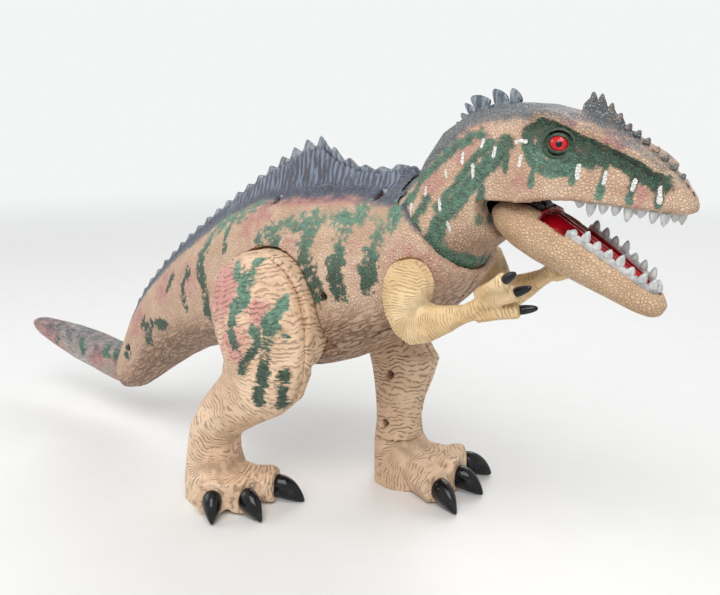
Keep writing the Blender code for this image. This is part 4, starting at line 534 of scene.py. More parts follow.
# %% Distance along a limb
def along_limb(places, chains, softness=9.0):
    """Millimetres along the nearest part of chains of points, mixed softly where parts meet."""
    total, weight = np.zeros(len(places)), np.full(len(places), 1e-9)
    spots = places / MM
    for start_at, chain in chains:
        for one, two in zip(chain, chain[1:]):
            one, two = np.array(one, float), np.array(two, float)
            length = np.linalg.norm(two - one)
            way = (two - one) / length
            free = (spots - one) @ way
            near = one + np.clip(free, 0, length)[:, None] * way
            share = np.exp(-(np.linalg.norm(spots - near, axis=1) / softness) ** 2) + 1e-8
            total += share * (start_at + free)
            weight += share
            start_at += length
    return total / weight


def leg_chains(side, lean, foot_x, foot_y, toes):
    y = side * 49
    knee = (56 + lean * 0.25, y, 72)
    heel = (8 + lean, side * foot_y, 33)
    sole = (42.3 + foot_x, side * foot_y, 8)
    chains = [(0, [(46, y, 128), (54 + lean * 0.1, y, 95), knee, heel, sole])]
    for degrees, share in toes:
        way = np.array((math.cos(math.radians(degrees)), side * math.sin(math.radians(degrees)), 0))
        chains.append((140, [sole, tuple(np.array(sole) + way * 55 * share)]))
    return chains


# Each foot: side, how far its leg leans ahead, the foot's place ahead and its distance from the
# middle, and its toes: degrees outwards and share of a toe's length
FEET = {
    "right": (-1, 0.0, -36.0, 46.1, ((46, 0.74), (11, 0.88), (-27, 1.00))),
    "left": (1, 62.0, 36.0, 38.1, ((43, 1.02), (10, 0.96), (-23, 1.04))),
}
ARM_CHAIN = {
    "right": [(0, [(129, -36, 142), (129, -36, 116), (140, -37, 115), (163, -40, 126), (188, -40, 138)])],
    "left": [(0, [(129, 36, 142), (126, 36, 116), (136, 37, 118), (159, 40, 132), (183, 40, 149)])],
}

# %% [markdown]
# A toe and a finger end where their black claw begins. The model's own pointed ends are longer,
# so what stands beyond the claw's root is pressed back to it, and the claw then covers the stump.

# %% Blunt toes and fingers
SHOULDER = Vector((0.130321, 0, 0.137))
ARM_LENGTH, TOE_LENGTH, CLAW_START = 0.080, 0.055, 0.655
# Each finger as shares of the arm's length: its start and end (x, z), and how far its end turns out
FINGERS = (((0.500, 0.010), (0.690, 0.135), 0.09), ((0.490, -0.040), (0.704, 0.055), 0.0),
           ((0.480, -0.095), (0.690, -0.055), -0.08))
FINGERS_ASIDE = 0.47
# How far each arm is lifted, in degrees, and the share by which a pointed end is pressed back
ARM_LIFT = {"right": 0.0, "left": 9.0}
PRESSED = 0.96


def toe_ends(side_name):
    """Root, way ahead and length of every toe's claw, in metres."""
    side, _, foot_x, foot_y, toes = FEET[side_name]
    for degrees, share in toes:
        way = Vector((math.cos(math.radians(degrees)), side * math.sin(math.radians(degrees)), 0))
        centre = Vector((0.042321 + foot_x * MM, side * foot_y * MM, 0.0095))
        yield centre + way * (share * TOE_LENGTH * CLAW_START), way, share * TOE_LENGTH


def finger_ends(side_name):
    """Root and way ahead of every finger's nail, in metres."""
    side = -1 if side_name == "right" else 1
    swing = Matrix.Rotation(-math.radians(ARM_LIFT[side_name]), 3, "Y")
    for start, end, out in FINGERS:
        start = Vector((start[0], side * FINGERS_ASIDE, start[1])) * ARM_LENGTH
        end = Vector((end[0], side * (FINGERS_ASIDE + out), end[1])) * ARM_LENGTH
        way = (end - start).normalized()
        yield SHOULDER + swing @ (end + way * 0.0006), swing @ way


def blunt_end(piece, root, way, reach):
    """Presses back what stands beyond a toe's or finger's end, within a reach round its line."""
    root, way, places = np.array(root / MM, float), np.array(way, float), places_of(piece)
    offset = places / MM - root
    beyond = offset @ way
    aside = np.linalg.norm(offset - beyond[:, None] * way, axis=1)
    push = np.where(aside < reach, np.maximum(beyond, 0), 0) * PRESSED
    set_places(piece, places - push[:, None] * way * MM)


for side_name in ("right", "left"):
    for root, way, _ in toe_ends(side_name):
        blunt_end(skins[side_name + "_leg_outer"], root, way, 16)
    for root, way in finger_ends(side_name):
        blunt_end(skins[side_name + "_arm"], root, way, 4.6)
    print(side_name, "side: 3 toes and", len(FINGERS), "fingers end at their claws")

# %% [markdown]
# The smoothing above narrows the window in the belly by a few tenths of a millimetre, and the
# switch that slides in it would touch. So the skin there is moved clear of the whole travel.

# %% Room for the power switch
SWITCH_TRAVEL, SWITCH_GAP, WINDOW_DEPTH = 0.0018, 0.0005, 0.008
low, high = (np.array(corner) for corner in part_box("power_switch"))
reach = np.array((SWITCH_TRAVEL + SWITCH_GAP, SWITCH_GAP, 0.0))
for side_name in ("right", "left"):
    piece = skins[side_name + "_body_shell"]
    places = places_of(piece)
    middle, half = (low + high) / 2, (high - low) / 2 + reach
    offset = places - middle
    over = half - np.abs(offset)
    caught = (over[:, :2] > 0).all(axis=1) & (np.abs(offset[:, 2]) < WINDOW_DEPTH)
    by_x = over[:, 0] < over[:, 1]
    for axis, chosen in ((0, caught & by_x), (1, caught & ~by_x)):
        places[chosen, axis] += np.sign(offset[chosen, axis]) * over[chosen, axis]
    set_places(piece, places)
    print(piece.name, "has", int(caught.sum()), "vertices moved clear of the switch")

# %% [markdown]
# Now each kind of piece gets its amounts of paint. The jaw's red lining of the mouth is told apart by
# place and by the way that the skin faces, and so is the near-black painted shade in the hollow roof
# of the mouth, in the screw wells and in the seams beside the spines.

# %% Amounts of paint on the body
PAINTS = ("green", "mint", "blue", "pink", "white", "wash_and_shade", "wrinkle", "sail", "inside")
SCREW_WELLS = ((28.0, 168.0), (98.0, 175.0))
BODY_PINK = ((-60, 110, 28, 0.7), (-95, 82, 26, 0.8), (130, 146, 26, 0.55), (-30, 120, 24, 0.7),
             (20, 158, 22, 0.8), (56, 150, 22, 0.5), (100, 150, 20, 0.45))


def seam_of(places, normals, line):
    """The two shells' narrow edges beside a strip of spines, painted near-black as the shade in the gap."""
    xs, ys, zs = (places / MM).T
    return (np.abs(ys) < 2.1) & (normals[:, 2] > 0.2) & (zs > np.interp(xs, *zip(*line)))


def paint_body(places, normals):
    xs, ys, zs = (places / MM).T
    rows = np.exp(-((zs - scute_row(xs, 169.5)) / 4.5) ** 2) * np.clip((xs - 24) / 8, 0, 1) * (xs < 100)
    # Painted shade: the insides of the screw wells and the seams beside the spines are made near-black
    wells = np.logical_or.reduce([np.hypot(xs - x, zs - z) < 2.5 for x, z in SCREW_WELLS]) & (ys < 0)
    seam = seam_of(places, normals, BACK_LINE) & (xs > -121) & (xs < 107)
    return {
        "green": paint(places, [(line, 1.2 * half) for line, half in BODY_STRIPES], 2.6),
        "mint": np.clip((zs - 138 + 12 * (xs < 0)) / 24, 0, 1),
        "blue": above(places, BACK_LINE, 4.0),
        "sail": above(places, [(x, z + 7) for x, z in BACK_LINE], 2.0) * (xs > -20) * (xs < 104),
        "wash_and_shade": 1 - above(places, WASH_LINE, 8.0),
        "pink": np.maximum(0.95 * rows, spots_of(places, BODY_PINK)),
        "inside": 1.0 * (seam | wells),
    }


# %% Amounts of paint on the head
HEAD_PINK = [(x, z, radius, 0.8) for x, z, radius in ((150, 200, 22), (216, 206, 13), (133, 184, 16),
                                                      (226, 184, 12), (180, 188, 12), (200, 214, 9))]
THROAT_LINE = [(100, 148), (140, 158), (160, 164), (175, 168), (250, 168)]
# Half width of the mouth's roof: (x, y)
ROOF_HALF = [(176, 12.5), (200, 14.0), (228, 9.6), (240, 4.8), (246, 0)]


def paint_head(places, normals):
    xs, ys, zs = (places / MM).T
    below = np.interp(xs, *zip(*BROW)) - zs
    mask = paint(places, HEAD_MASK, 1.5) * np.clip((below - 0.3) / 1.6, 0, 1)
    drips = np.clip((below - 9) / 14, 0, 0.75) * (xs > 178)
    # Painted shade: the hollow roof of the mouth, its back towards the throat and the seam beside the nape's
    # spines are made near-black
    roof = (np.abs(ys) < np.interp(xs, *zip(*ROOF_HALF))) & (zs < 196) & (xs > 172)
    throat = (np.abs(ys) < 9) & (zs < 184)
    seam = seam_of(places, normals, NAPE_LINE) & (np.abs(xs - 142.5) < 25)
    return {
        "green": np.maximum(mask, paint(places, NECK_MARKS, 2.2)),
        "mint": np.maximum(np.clip((178 - xs) / 30, 0, 0.55), drips),
        "blue": above(places, NAPE_LINE, 4.5),
        "white": paint(places, [(line, 1.6 * half) for line, half in WHITE_DASHES], 0.6),
        "wash_and_shade": 0.7 * (1 - above(places, THROAT_LINE, 7.0)),
        "pink": spots_of(places, HEAD_PINK),
        "inside": 1.0 * ((roof & ((normals[:, 2] < 0.3) | throat)) | seam),
    }


# %% Amounts of paint on the jaw
JAW_SKIN_LINE = [(150, 150), (240, 135)]
JAW_EDGE = [(184, 171), (194, 168), (204, 162), (214, 154), (225, 147), (238, 141)]
JAW_FLOOR = [(176, 152), (238, 130)]
# Half width of the jaw's trough: (x, y)
JAW_HALF = [(174, 8.0), (180, 10.4), (190, 10.6), (215, 7.2), (230, 2.6), (236, 0)]


def paint_jaw(places, normals):
    xs, ys, zs = (places / MM).T
    half = np.interp(xs, *zip(*JAW_HALF))
    inward = normals[:, 1] * np.sign(ys) < -0.35
    inward |= (normals[:, 0] < -0.45) & (xs > 210)
    inward |= (normals[:, 0] > 0.5) & (xs < 195) & (np.abs(ys) < 10.5)
    wall = inward & (np.abs(ys) < half + 3.0) & (normals[:, 2] < 0.6)
    trough = (np.abs(ys) < half) & (normals[:, 2] > 0.1)
    return {
        "wash_and_shade": 0.25 * (1 - above(places, JAW_SKIN_LINE, 8.0)),
        "pink": 0.35 * above(places, JAW_EDGE, 3.0),
        "inside": 1.0 * ((trough | wall) & (zs > np.interp(xs, *zip(*JAW_FLOOR)))),
    }


# %% Amounts of paint on the legs and the tail
LEG_PINK = ((26, 126, 30, 1), (40, 98, 18, 1), (56, 116, 12, 1))
TAIL_PINK = ((-215, 48, 34, 1), (-152, 46, 15, 1), (-240, 52, 16, 1))


def paint_leg(places, side_name, outer):
    """Outer is 1 for a leg's outer half and 0 for its inner one; the left leg's marks lean forward."""
    zs = places[:, 2] / MM
    shift = 0.0 if side_name == "right" else 0.35
    lines = [([(x + (110 - z) * shift, z) for x, z in line], half * 1.35) for line, half in LEG_STRIPES]
    # Painted shade: each leg gets darker towards the floor, above the foot. The inner half is also darker on
    # its upper part.
    low = 0.18 * (1 - above(places, [(-60, 45), (140, 45)], 30.0)) * (zs > 24)
    return {
        "wrinkle": along_limb(places, leg_chains(*FEET[side_name])),
        "green": outer * paint(places, lines, 1.6),
        "mint": np.clip((zs - 96) / 26, 0, 0.8),
        "pink": (0.35 + 0.7 * outer) * spots_of(places, LEG_PINK),
        "wash_and_shade": low + 0.30 * (1 - outer) * above(places, [(-60, 72), (140, 72)], 30.0),
    }


def paint_tail(places):
    return {
        "green": paint(places, TAIL_STRIPES, 2.0),
        "blue": 0.62 * above(places, [(-250, 50), (-120, 42)], 10.0),
        "mint": np.full(len(places), 0.5),
        "pink": spots_of(places, TAIL_PINK),
    }


# %% Paint every skin piece
for node, piece in skins.items():
    places, normals = places_of(piece), normals_of(piece)
    side_name = "right" if node.startswith("right") else "left"
    if "head" in node:
        marks = paint_head(places, normals)
    elif "jaw" in node:
        marks = paint_jaw(places, normals)
    elif "leg" in node:
        marks = paint_leg(places, side_name, 1.0 if "outer" in node else 0.0)
    elif "arm" in node:
        marks = {"wrinkle": along_limb(places, ARM_CHAIN[side_name], 7.0)}
    elif "tail" in node:
        marks = paint_tail(places)
    else:
        marks = paint_body(places, normals)
    for name in PAINTS:
        keep_amount(piece, name, marks.get(name, np.zeros(len(places))))
    print(node, "has amounts of", ", ".join(marks))

# %% [markdown]
# ## Skin
# The moulded skin has small pebble scales on the body and head, fine wrinkles across the legs
# and arms, and long streaks on the belly and the tail. The relief drives both the bump and the
# brown wash, because thin paint runs into the creases and is wiped off the high spots; the wash
# in the creases is also painted shade, laid deeper than the wash alone. The painted marks then go
# over it, broken up by the scales as a dry brush does, and a near-black painted shade darkens the
# creases over all of them.

# %% Relief of the skin
def attribute(tree, name):
    return add(tree, "ShaderNodeAttribute", output="Fac", attribute_name=name)


def stretched(tree, place, scale, angle=(0.0, 0.0, 0.0)):
    """Object coordinates turned and scaled, so that a pattern can be longer one way."""
    turned = add(tree, "ShaderNodeMapping", {"Vector": place, "Rotation": angle})
    return add(tree, "ShaderNodeMapping", {"Vector": turned, "Scale": scale})


def between(tree, first, second, share):
    """A number part of the way from the first to the second."""
    return math_of(tree, "MULTIPLY_ADD", math_of(tree, "SUBTRACT", second, first), share, first)


def pebbled(tree, place, size):
    """Pebble scales: 1 on their tops, 0 in the creases between them."""
    rim = add(tree, "ShaderNodeTexVoronoi", {"Vector": place, "Scale": 1000.0 / size, "Randomness": 0.9},
              feature="DISTANCE_TO_EDGE")
    return ramp(tree, rim, -0.10, 0.36)


def wrinkled(tree, place, size):
    """Wrinkles across a limb, from the distance along it: 1 on the ridges, 0 in the grooves."""
    sway = noise(tree, place, 95.0, 3.0)
    phase = math_of(tree, "MULTIPLY", sway, 4.5)
    phase = math_of(tree, "MULTIPLY_ADD", attribute(tree, "wrinkle"), 1.0 / size, phase)
    wave = math_of(tree, "SINE", math_of(tree, "MULTIPLY", phase, math.tau))
    depth = math_of(tree, "MULTIPLY_ADD", ramp(tree, noise(tree, place, 230.0), 0.36, 0.60), 0.75, 0.25)
    return math_of(tree, "SUBTRACT", 1.0, math_of(tree, "MULTIPLY", ramp(tree, wave, 0.0, 1.0), depth))


def streaked(tree, place, turn):
    """Long fine folds in one direction of the side view: 1 on the ridges, 0 in the grooves."""
    across = stretched(tree, place, (120.0, 200.0, 640.0), (0.0, turn, 0.0))
    fold = noise(tree, across, 1.0, 3.0, 0.55)
    fold = math_of(tree, "ABSOLUTE", math_of(tree, "SUBTRACT", fold, 0.5))
    return math_of(tree, "MINIMUM", math_of(tree, "MULTIPLY", fold, 8.0), 1.0)


RIB_PITCH = 0.0033


def ribbed(tree, place, sway):
    """Upright ribs of the sail, with finer hairs along them."""
    along = add(tree, "ShaderNodeSeparateXYZ", {"Vector": place}, output="X")
    phase = math_of(tree, "MULTIPLY", sway, 16.0)
    phase = math_of(tree, "MULTIPLY_ADD", along, math.tau / RIB_PITCH, phase)
    hairs = noise(tree, stretched(tree, place, (700.0, 300.0, 110.0)), 1.0, 3.0)
    hairs = math_of(tree, "MULTIPLY", math_of(tree, "SUBTRACT", hairs, 0.5), 5.0)
    wave = math_of(tree, "MULTIPLY", math_of(tree, "SINE", phase), 0.6)
    return ramp(tree, math_of(tree, "ADD", wave, hairs), -1.0, 1.1)


# %% Skin material
# Colours in pairs, darker and lighter, are mixed by a noise, so that no paint is one flat colour
BLUES = ((0.045, 0.062, 0.095), (0.150, 0.200, 0.285))
GREYS = ((0.095, 0.120, 0.130), (0.230, 0.265, 0.275))
# Painted shade: the sail's pair is laid dark between its ribs, and the slate crease colour darkens the
# blue-grey in its creases
SAIL_BLUES = ((0.050, 0.064, 0.100), (0.155, 0.205, 0.285))
SLATE_CREASE_SHADE = (0.026, 0.034, 0.052)
DARK_GREENS = ((0.006, 0.034, 0.022), (0.032, 0.118, 0.074))
MINT_GREENS = ((0.045, 0.140, 0.098), (0.160, 0.330, 0.235))
PINK, WHITE = (0.56, 0.23, 0.22), (0.83, 0.83, 0.78)
# The brown of the wash, which also serves as painted shade, and the near-black of the painted shade in the
# creases
BROWN_WASH_AND_SHADE, CREASE_SHADE = (0.17, 0.088, 0.044), (0.050, 0.030, 0.020)
# Near-black painted shade for hollows and gaps, and the real red of the mouth
HOLLOW_SHADE, MOUTH_RED = (0.020, 0.006, 0.008), (0.45, 0.006, 0.012)


def skin_material(name, base, light, pebbles=1.0, pebble_size=1.45, wrinkle_size=2.2, streaks=0.0,
                  turn=0.0, depth=0.00045, stain_and_shade=0.36, tear=1.15, slates=BLUES, lining_and_shade=HOLLOW_SHADE,
                  brush=(420.0, 420.0, 420.0)):
    """Moulded plastic skin: share of pebbles against wrinkles, their sizes in millimetres."""
    material, tree, shader = new_material(name)
    place = object_place(tree)
    bend = noise(tree, place, 160.0, output="Color")
    bent = add(tree, "ShaderNodeVectorMath", {0: bend, 1: (0.0012, 0.0012, 0.0012), 2: place},
               operation="MULTIPLY_ADD")
    speck = noise(tree, bent, 420.0, 4.0, 0.7)
    cloud = noise(tree, place, 60.0, 4.0)
    fine = noise(tree, place, 1100.0)
    stroke = noise(tree, stretched(tree, bent, brush), 1.0, 4.0, 0.7)
    island = noise(tree, bent, 190.0)

    # The relief: pebbles, wrinkles, streaks and the sail's ribs, each by its own share
    relief = pebbled(tree, bent, pebble_size)
    if pebbles < 1:
        relief = between(tree, wrinkled(tree, place, wrinkle_size), relief, pebbles)
    if streaks:
        share = math_of(tree, "MULTIPLY", attribute(tree, "wash_and_shade"), streaks) if streaks < 1 else streaks
        relief = between(tree, relief, streaked(tree, bent, turn), share)
    ribs = ribbed(tree, place, cloud)
    relief = between(tree, relief, ribs, attribute(tree, "sail"))
    crease = ramp(tree, math_of(tree, "SUBTRACT", 1.0, relief), 0.15, 0.95)

    # What tears the edges of the paint: brush strokes, the creases, and blotches of two sizes
    rough = math_of(tree, "MULTIPLY", math_of(tree, "SUBTRACT", stroke, 0.5), 1.9)
    rough = math_of(tree, "MULTIPLY_ADD", crease, -0.16, rough)
    blotch = math_of(tree, "MULTIPLY", math_of(tree, "SUBTRACT", cloud, 0.5), 1.3)
    island = math_of(tree, "MULTIPLY", math_of(tree, "SUBTRACT", island, 0.5), 1.5)
    torn = math_of(tree, "ADD", math_of(tree, "ADD", rough, blotch), island)

    def mark(paint_name, low, high, torn_by, strength=1.0):
        """Where a paint covers: its amount with torn edges, and none far from its marks."""
        amount = attribute(tree, paint_name)
        edge = ramp(tree, math_of(tree, "MULTIPLY_ADD", torn, torn_by, amount), low, high)
        cover = math_of(tree, "MULTIPLY", edge, ramp(tree, amount, 0.0, 0.2))
        return math_of(tree, "MULTIPLY", cover, strength)

    colour = blend_colour(tree, ramp(tree, cloud, 0.36, 0.64), base, light)
    colour = blend_colour(tree, mark("pink", 0.20, 0.95, 0.8, 0.80), colour, PINK)
    # Brown wash mixed with painted shade: darker in the creases, and where the piece's amount of wash and
    # shade is high
    wash_and_shade = math_of(tree, "MULTIPLY", crease, stain_and_shade)
    wash_and_shade = math_of(tree, "MULTIPLY_ADD", attribute(tree, "wash_and_shade"), 0.60, wash_and_shade)
    wash_and_shade = math_of(tree, "MULTIPLY_ADD", blotch, 0.35, wash_and_shade)
    colour = blend_colour(tree, ramp(tree, wash_and_shade, 0.0, 1.20), colour, BROWN_WASH_AND_SHADE)
    slate = blend_colour(tree, ramp(tree, speck, 0.36, 0.66), *slates)
    # Painted shade: the blue-grey darkens in its creases, and on the sail it is dark between the ribs, broken
    # by brush strokes
    slate = blend_colour(tree, math_of(tree, "MULTIPLY", crease, 0.70), slate, SLATE_CREASE_SHADE)
    sail = ramp(tree, math_of(tree, "MULTIPLY_ADD", rough, 0.6, ribs), 0.1, 1.0)
    slate = blend_colour(tree, attribute(tree, "sail"), slate, blend_colour(tree, sail, *SAIL_BLUES))
    colour = blend_colour(tree, mark("blue", 0.20, 0.80, 0.45, 0.95), colour, slate)
    dark = blend_colour(tree, ramp(tree, speck, 0.40, 0.70), *DARK_GREENS)
    mint = blend_colour(tree, ramp(tree, speck, 0.34, 0.62), *MINT_GREENS)
    leaf = blend_colour(tree, attribute(tree, "mint"), dark, mint)
    colour = blend_colour(tree, mark("green", 0.28, 0.78, tear, 0.96), colour, leaf)
    colour = blend_colour(tree, mark("white", 0.40, 0.60, 0.55), colour, WHITE)
    # Painted shade: the creases darken towards near black over all the paint
    colour = blend_colour(tree, math_of(tree, "MULTIPLY", crease, 0.22), colour, CREASE_SHADE)
    # The jaw's red lining of the mouth; on the other pieces near-black painted shade in hollows, wells and
    # seams
    colour = blend_colour(tree, attribute(tree, "inside"), colour, lining_and_shade)
    socket(tree, shader.inputs["Base Color"], colour)
    dull = math_of(tree, "MULTIPLY_ADD", speck, 0.25, 0.38)
    dull = math_of(tree, "MULTIPLY_ADD", attribute(tree, "inside"), -0.32, dull)
    socket(tree, shader.inputs["Roughness"], dull)
    shader.inputs["Specular IOR Level"].default_value = 0.40
    bump(tree, shader, math_of(tree, "MULTIPLY_ADD", fine, 0.12, relief), 1.0, depth)
    return material


# %% Dress the skins
TAN, TAN_LIGHT = (0.61, 0.400, 0.272), (0.75, 0.535, 0.382)
body_skin = skin_material("body skin", TAN, TAN_LIGHT, streaks=0.9, turn=0.5, tear=1.5)
head_skin = skin_material("head skin", TAN, TAN_LIGHT, slates=GREYS, tear=0.7)
jaw_skin = skin_material("jaw skin", (0.64, 0.415, 0.250), (0.76, 0.530, 0.340), pebble_size=1.5,
                         lining_and_shade=MOUTH_RED)
leg_skin = skin_material("leg skin", (0.67, 0.455, 0.300), (0.80, 0.580, 0.400), 0.10, wrinkle_size=2.8,
                         stain_and_shade=0.46, tear=1.35, depth=0.0006, brush=(240.0, 240.0, 800.0))
arm_skin = skin_material("arm skin", (0.67, 0.460, 0.235), (0.81, 0.600, 0.350), 0.08, wrinkle_size=1.6,
                         stain_and_shade=0.22, depth=0.0004)
tail_skin = skin_material("tail skin", (0.48, 0.33, 0.28), (0.50, 0.45, 0.42), pebble_size=1.7,
                          streaks=1.0, turn=0.15, stain_and_shade=0.32, slates=GREYS, brush=(160.0, 500.0, 600.0))
SKIN_KINDS = (("head", head_skin), ("jaw", jaw_skin), ("leg", leg_skin), ("arm", arm_skin),
              ("tail", tail_skin), ("", body_skin))
node_body = {member: body for body, members in frame["record"]["behaviour"]["bodies"].items()
             for member in members}
for node, piece in skins.items():
    give(piece, next(material for word, material in SKIN_KINDS if word in node))
    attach(piece, node_body[node])
    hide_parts(node)
print("dressed", len(skins), "skin pieces")

# %% [markdown]
# ## Spines and teeth
# Both are separate mouldings in a clear smoky plastic, pushed into a seam. Their facets are
# rounded over, and the plastic lets a little light through its thin tips.

# %% Clear smoky plastic
def clear_plastic(name, dark, light, through, roughness, grain, ridge):
    """Clear plastic with streaks, red as the mouth where the attribute "gum" is 1."""
    material, tree, shader = new_material(name)
    streak = noise(tree, stretched(tree, object_place(tree), grain), 1.0, 3.0)
    clear = blend_colour(tree, ramp(tree, streak, 0.35, 0.65), dark, light)
    socket(tree, shader.inputs["Base Color"], blend_colour(tree, attribute(tree, "gum"), clear, MOUTH_RED))
    shader.inputs["Roughness"].default_value = roughness
    shader.inputs["Transmission Weight"].default_value = through
    bump(tree, shader, streak, 0.8, ridge)
    return material


spine_plastic = clear_plastic("smoky spine plastic", (0.070, 0.085, 0.110), (0.26, 0.30, 0.34), 0.20, 0.25,
                              (620.0, 300.0, 150.0), 0.0005)
tooth_plastic = clear_plastic("clear tooth plastic", (0.56, 0.58, 0.58), (0.80, 0.80, 0.77), 0.30, 0.14,
                              (500.0, 500.0, 160.0), 0.0002)
back = even_copy("back_spines", 0.7, keep=180.0, rounds=2)
give(back, spine_plastic)
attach(back, node_body["back_spines"])
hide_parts("back_spines")

# %% [markdown]
# A tooth, a claw and a nail are drawn the same way, as by hand: a disc is pulled out ring by
# ring, each ring a little smaller and turned a little further. One helper draws them all from a
# list of steps, and another copies the result to its place with its own mesh.

# %% Helpers for teeth and claws
def pulled_shape(sides, steps, curl):
    """A blunt horn one unit wide at its root, pointing to +X: steps of (length, size, drop)."""
    bpy.ops.object.select_all(action="DESELECT")
    bpy.ops.mesh.primitive_circle_add(vertices=sides, radius=0.5, fill_type="NGON",
                                      rotation=(0, math.pi / 2, 0))
    horn = bpy.context.object
    bpy.ops.object.transform_apply(rotation=True)
    bpy.ops.object.mode_set(mode="EDIT")
    bpy.ops.mesh.select_all(action="SELECT")
    middle = Vector((0, 0, 0))
    for step, size, drop in steps:
        bpy.ops.mesh.extrude_region_move(TRANSFORM_OT_translate={"value": (step, 0, drop)})
        middle = middle + Vector((step, 0, drop))
        bpy.ops.transform.resize(value=(1, size, size), center_override=middle)
        bpy.ops.transform.rotate(value=-curl, orient_axis="Y", center_override=middle)
    bpy.ops.mesh.select_all(action="SELECT")
    bpy.ops.mesh.normals_make_consistent(inside=False)
    bpy.ops.object.mode_set(mode="OBJECT")
    apply(horn, "SUBSURF", levels=1, render_levels=1)
    bpy.ops.object.shade_smooth()
    return horn


def put_copy(model, name, root, ahead, beside, length, width, thick):
    """Copies a model to its root, pointing ahead; sizes in metres."""
    piece = model.copy()
    piece.data = model.data.copy()
    piece.name = name
    bpy.context.scene.collection.objects.link(piece)
    ahead = Vector(ahead).normalized()
    beside = (Vector(beside) - ahead * ahead.dot(Vector(beside))).normalized()
    turned = Matrix((ahead, beside, ahead.cross(beside))).transposed().to_4x4()
    size = Matrix.Diagonal((length, width, thick, 1))
    piece.data.transform(Matrix.Translation(root) @ turned @ size)
    return piece


# %% Tooth, modelled once
tooth_model = pulled_shape(12, ((0.22, 1.0, 0.0), (0.24, 0.90, 0.0), (0.20, 0.80, 0.01),
                                (0.16, 0.68, 0.02), (0.11, 0.55, 0.02), (0.07, 0.40, 0.01)), 0.0)

# %% [markdown]
# The nape's spines are fans: narrow where they leave the strip's edge at the back of the neck and
# broad, tall and rounded near the head. Each is a pulled shape that leans back over the strip.

# %% Nape strip with its fans
NAPE_EDGE = [(117, 190.6), (119.3, 193.9), (122.5, 196.9), (125.8, 200.4), (129.0, 204.0), (132.3, 207.8),
             (135.5, 210.2), (139.3, 213.0), (144.3, 215.6), (149.8, 217.2), (155.3, 218.6),
             (161.0, 219.5), (167, 220.3)]
# Each fan: the rear and the front of its root on the edge, and its tip (x, z)
FANS = [((118.9, 191.9), (123.0, 195.9), (119.0, 195.6)), ((123.8, 197.2), (127.6, 200.8), (122.8, 199.4)),
        ((129.3, 202.4), (133.2, 206.4), (127.7, 205.2)), ((134.0, 207.5), (136.7, 210.0), (133.8, 210.9)),
        ((136.9, 210.3), (140.1, 213.2), (136.1, 215.0)), ((140.1, 213.2), (143.6, 216.0), (138.1, 219.7)),
        ((144.3, 215.6), (152.4, 218.6), (141.8, 223.3)), ((153.2, 218.4), (160.9, 219.9), (153.9, 226.0)),
        ((160.9, 219.8), (167.4, 220.2), (163.3, 225.8))]


def pressed_to(places, line, over):
    """Presses a strip's vertices down to a little over a line in the side view."""
    xs, zs = (np.array(column, float) for column in zip(*line))
    limit = np.interp(places[:, 0] / MM, xs, zs) + over
    places[:, 2] = np.minimum(places[:, 2], limit * MM)
    return places


fan_model = pulled_shape(14, ((0.24, 0.96, 0.0), (0.24, 0.88, 0.03), (0.20, 0.80, 0.05),
                              (0.16, 0.70, 0.06), (0.10, 0.55, 0.04), (0.05, 0.40, 0.02)), 0.0)
nape = even_copy("neck_spines", 0.5, keep=180.0, rounds=2)
set_places(nape, pressed_to(places_of(nape), NAPE_EDGE, 0.4))
fans = []
for i, (rear, front, tip) in enumerate(FANS):
    rear, front, tip = (Vector((x, 0, z)) * MM for x, z in (rear, front, tip))
    root, ahead = (rear + front) / 2, tip - (rear + front) / 2
    root = root - ahead.normalized() * 0.0012
    fans.append(put_copy(fan_model, "fan_%d" % i, root, ahead, (0, 1, 0), (tip - root).length, 2.9 * MM,
                         (front - rear).length * 1.06))
bpy.data.objects.remove(fan_model)
join([nape] + fans)
give(nape, spine_plastic)
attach(nape, node_body["neck_spines"])
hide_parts("neck_spines")
print("nape strip has", len(FANS), "fans")

# %% [markdown]
# The gum strips keep the place of the model's strips, but their saw-tooth edge is pressed flat.
# A tooth then stands on every seat, and each strip and its teeth become one piece.

# %% Gum strips with their teeth
# Each seat: x, distance from the middle, and height
UPPER_SEATS = [(203.2, 14.3, 178.9), (208.0, 13.7, 178.6), (212.9, 12.7, 178.2), (217.9, 11.7, 177.8),
               (222.9, 10.7, 177.3), (227.9, 9.8, 176.8), (232.6, 8.6, 176.2), (236.8, 7.4, 175.7),
               (240.0, 4.6, 175.4), (241.0, 0.0, 175.3)]
LOWER_SEATS = [(199.7, 11.9, 164.3), (204.7, 11.1, 161.5), (209.6, 10.2, 158.8), (214.5, 9.4, 155.7),
               (219.3, 8.6, 152.6), (223.9, 7.5, 149.6), (228.4, 6.1, 146.2), (232.0, 3.6, 143.4),
               (233.6, 0.0, 142.2)]


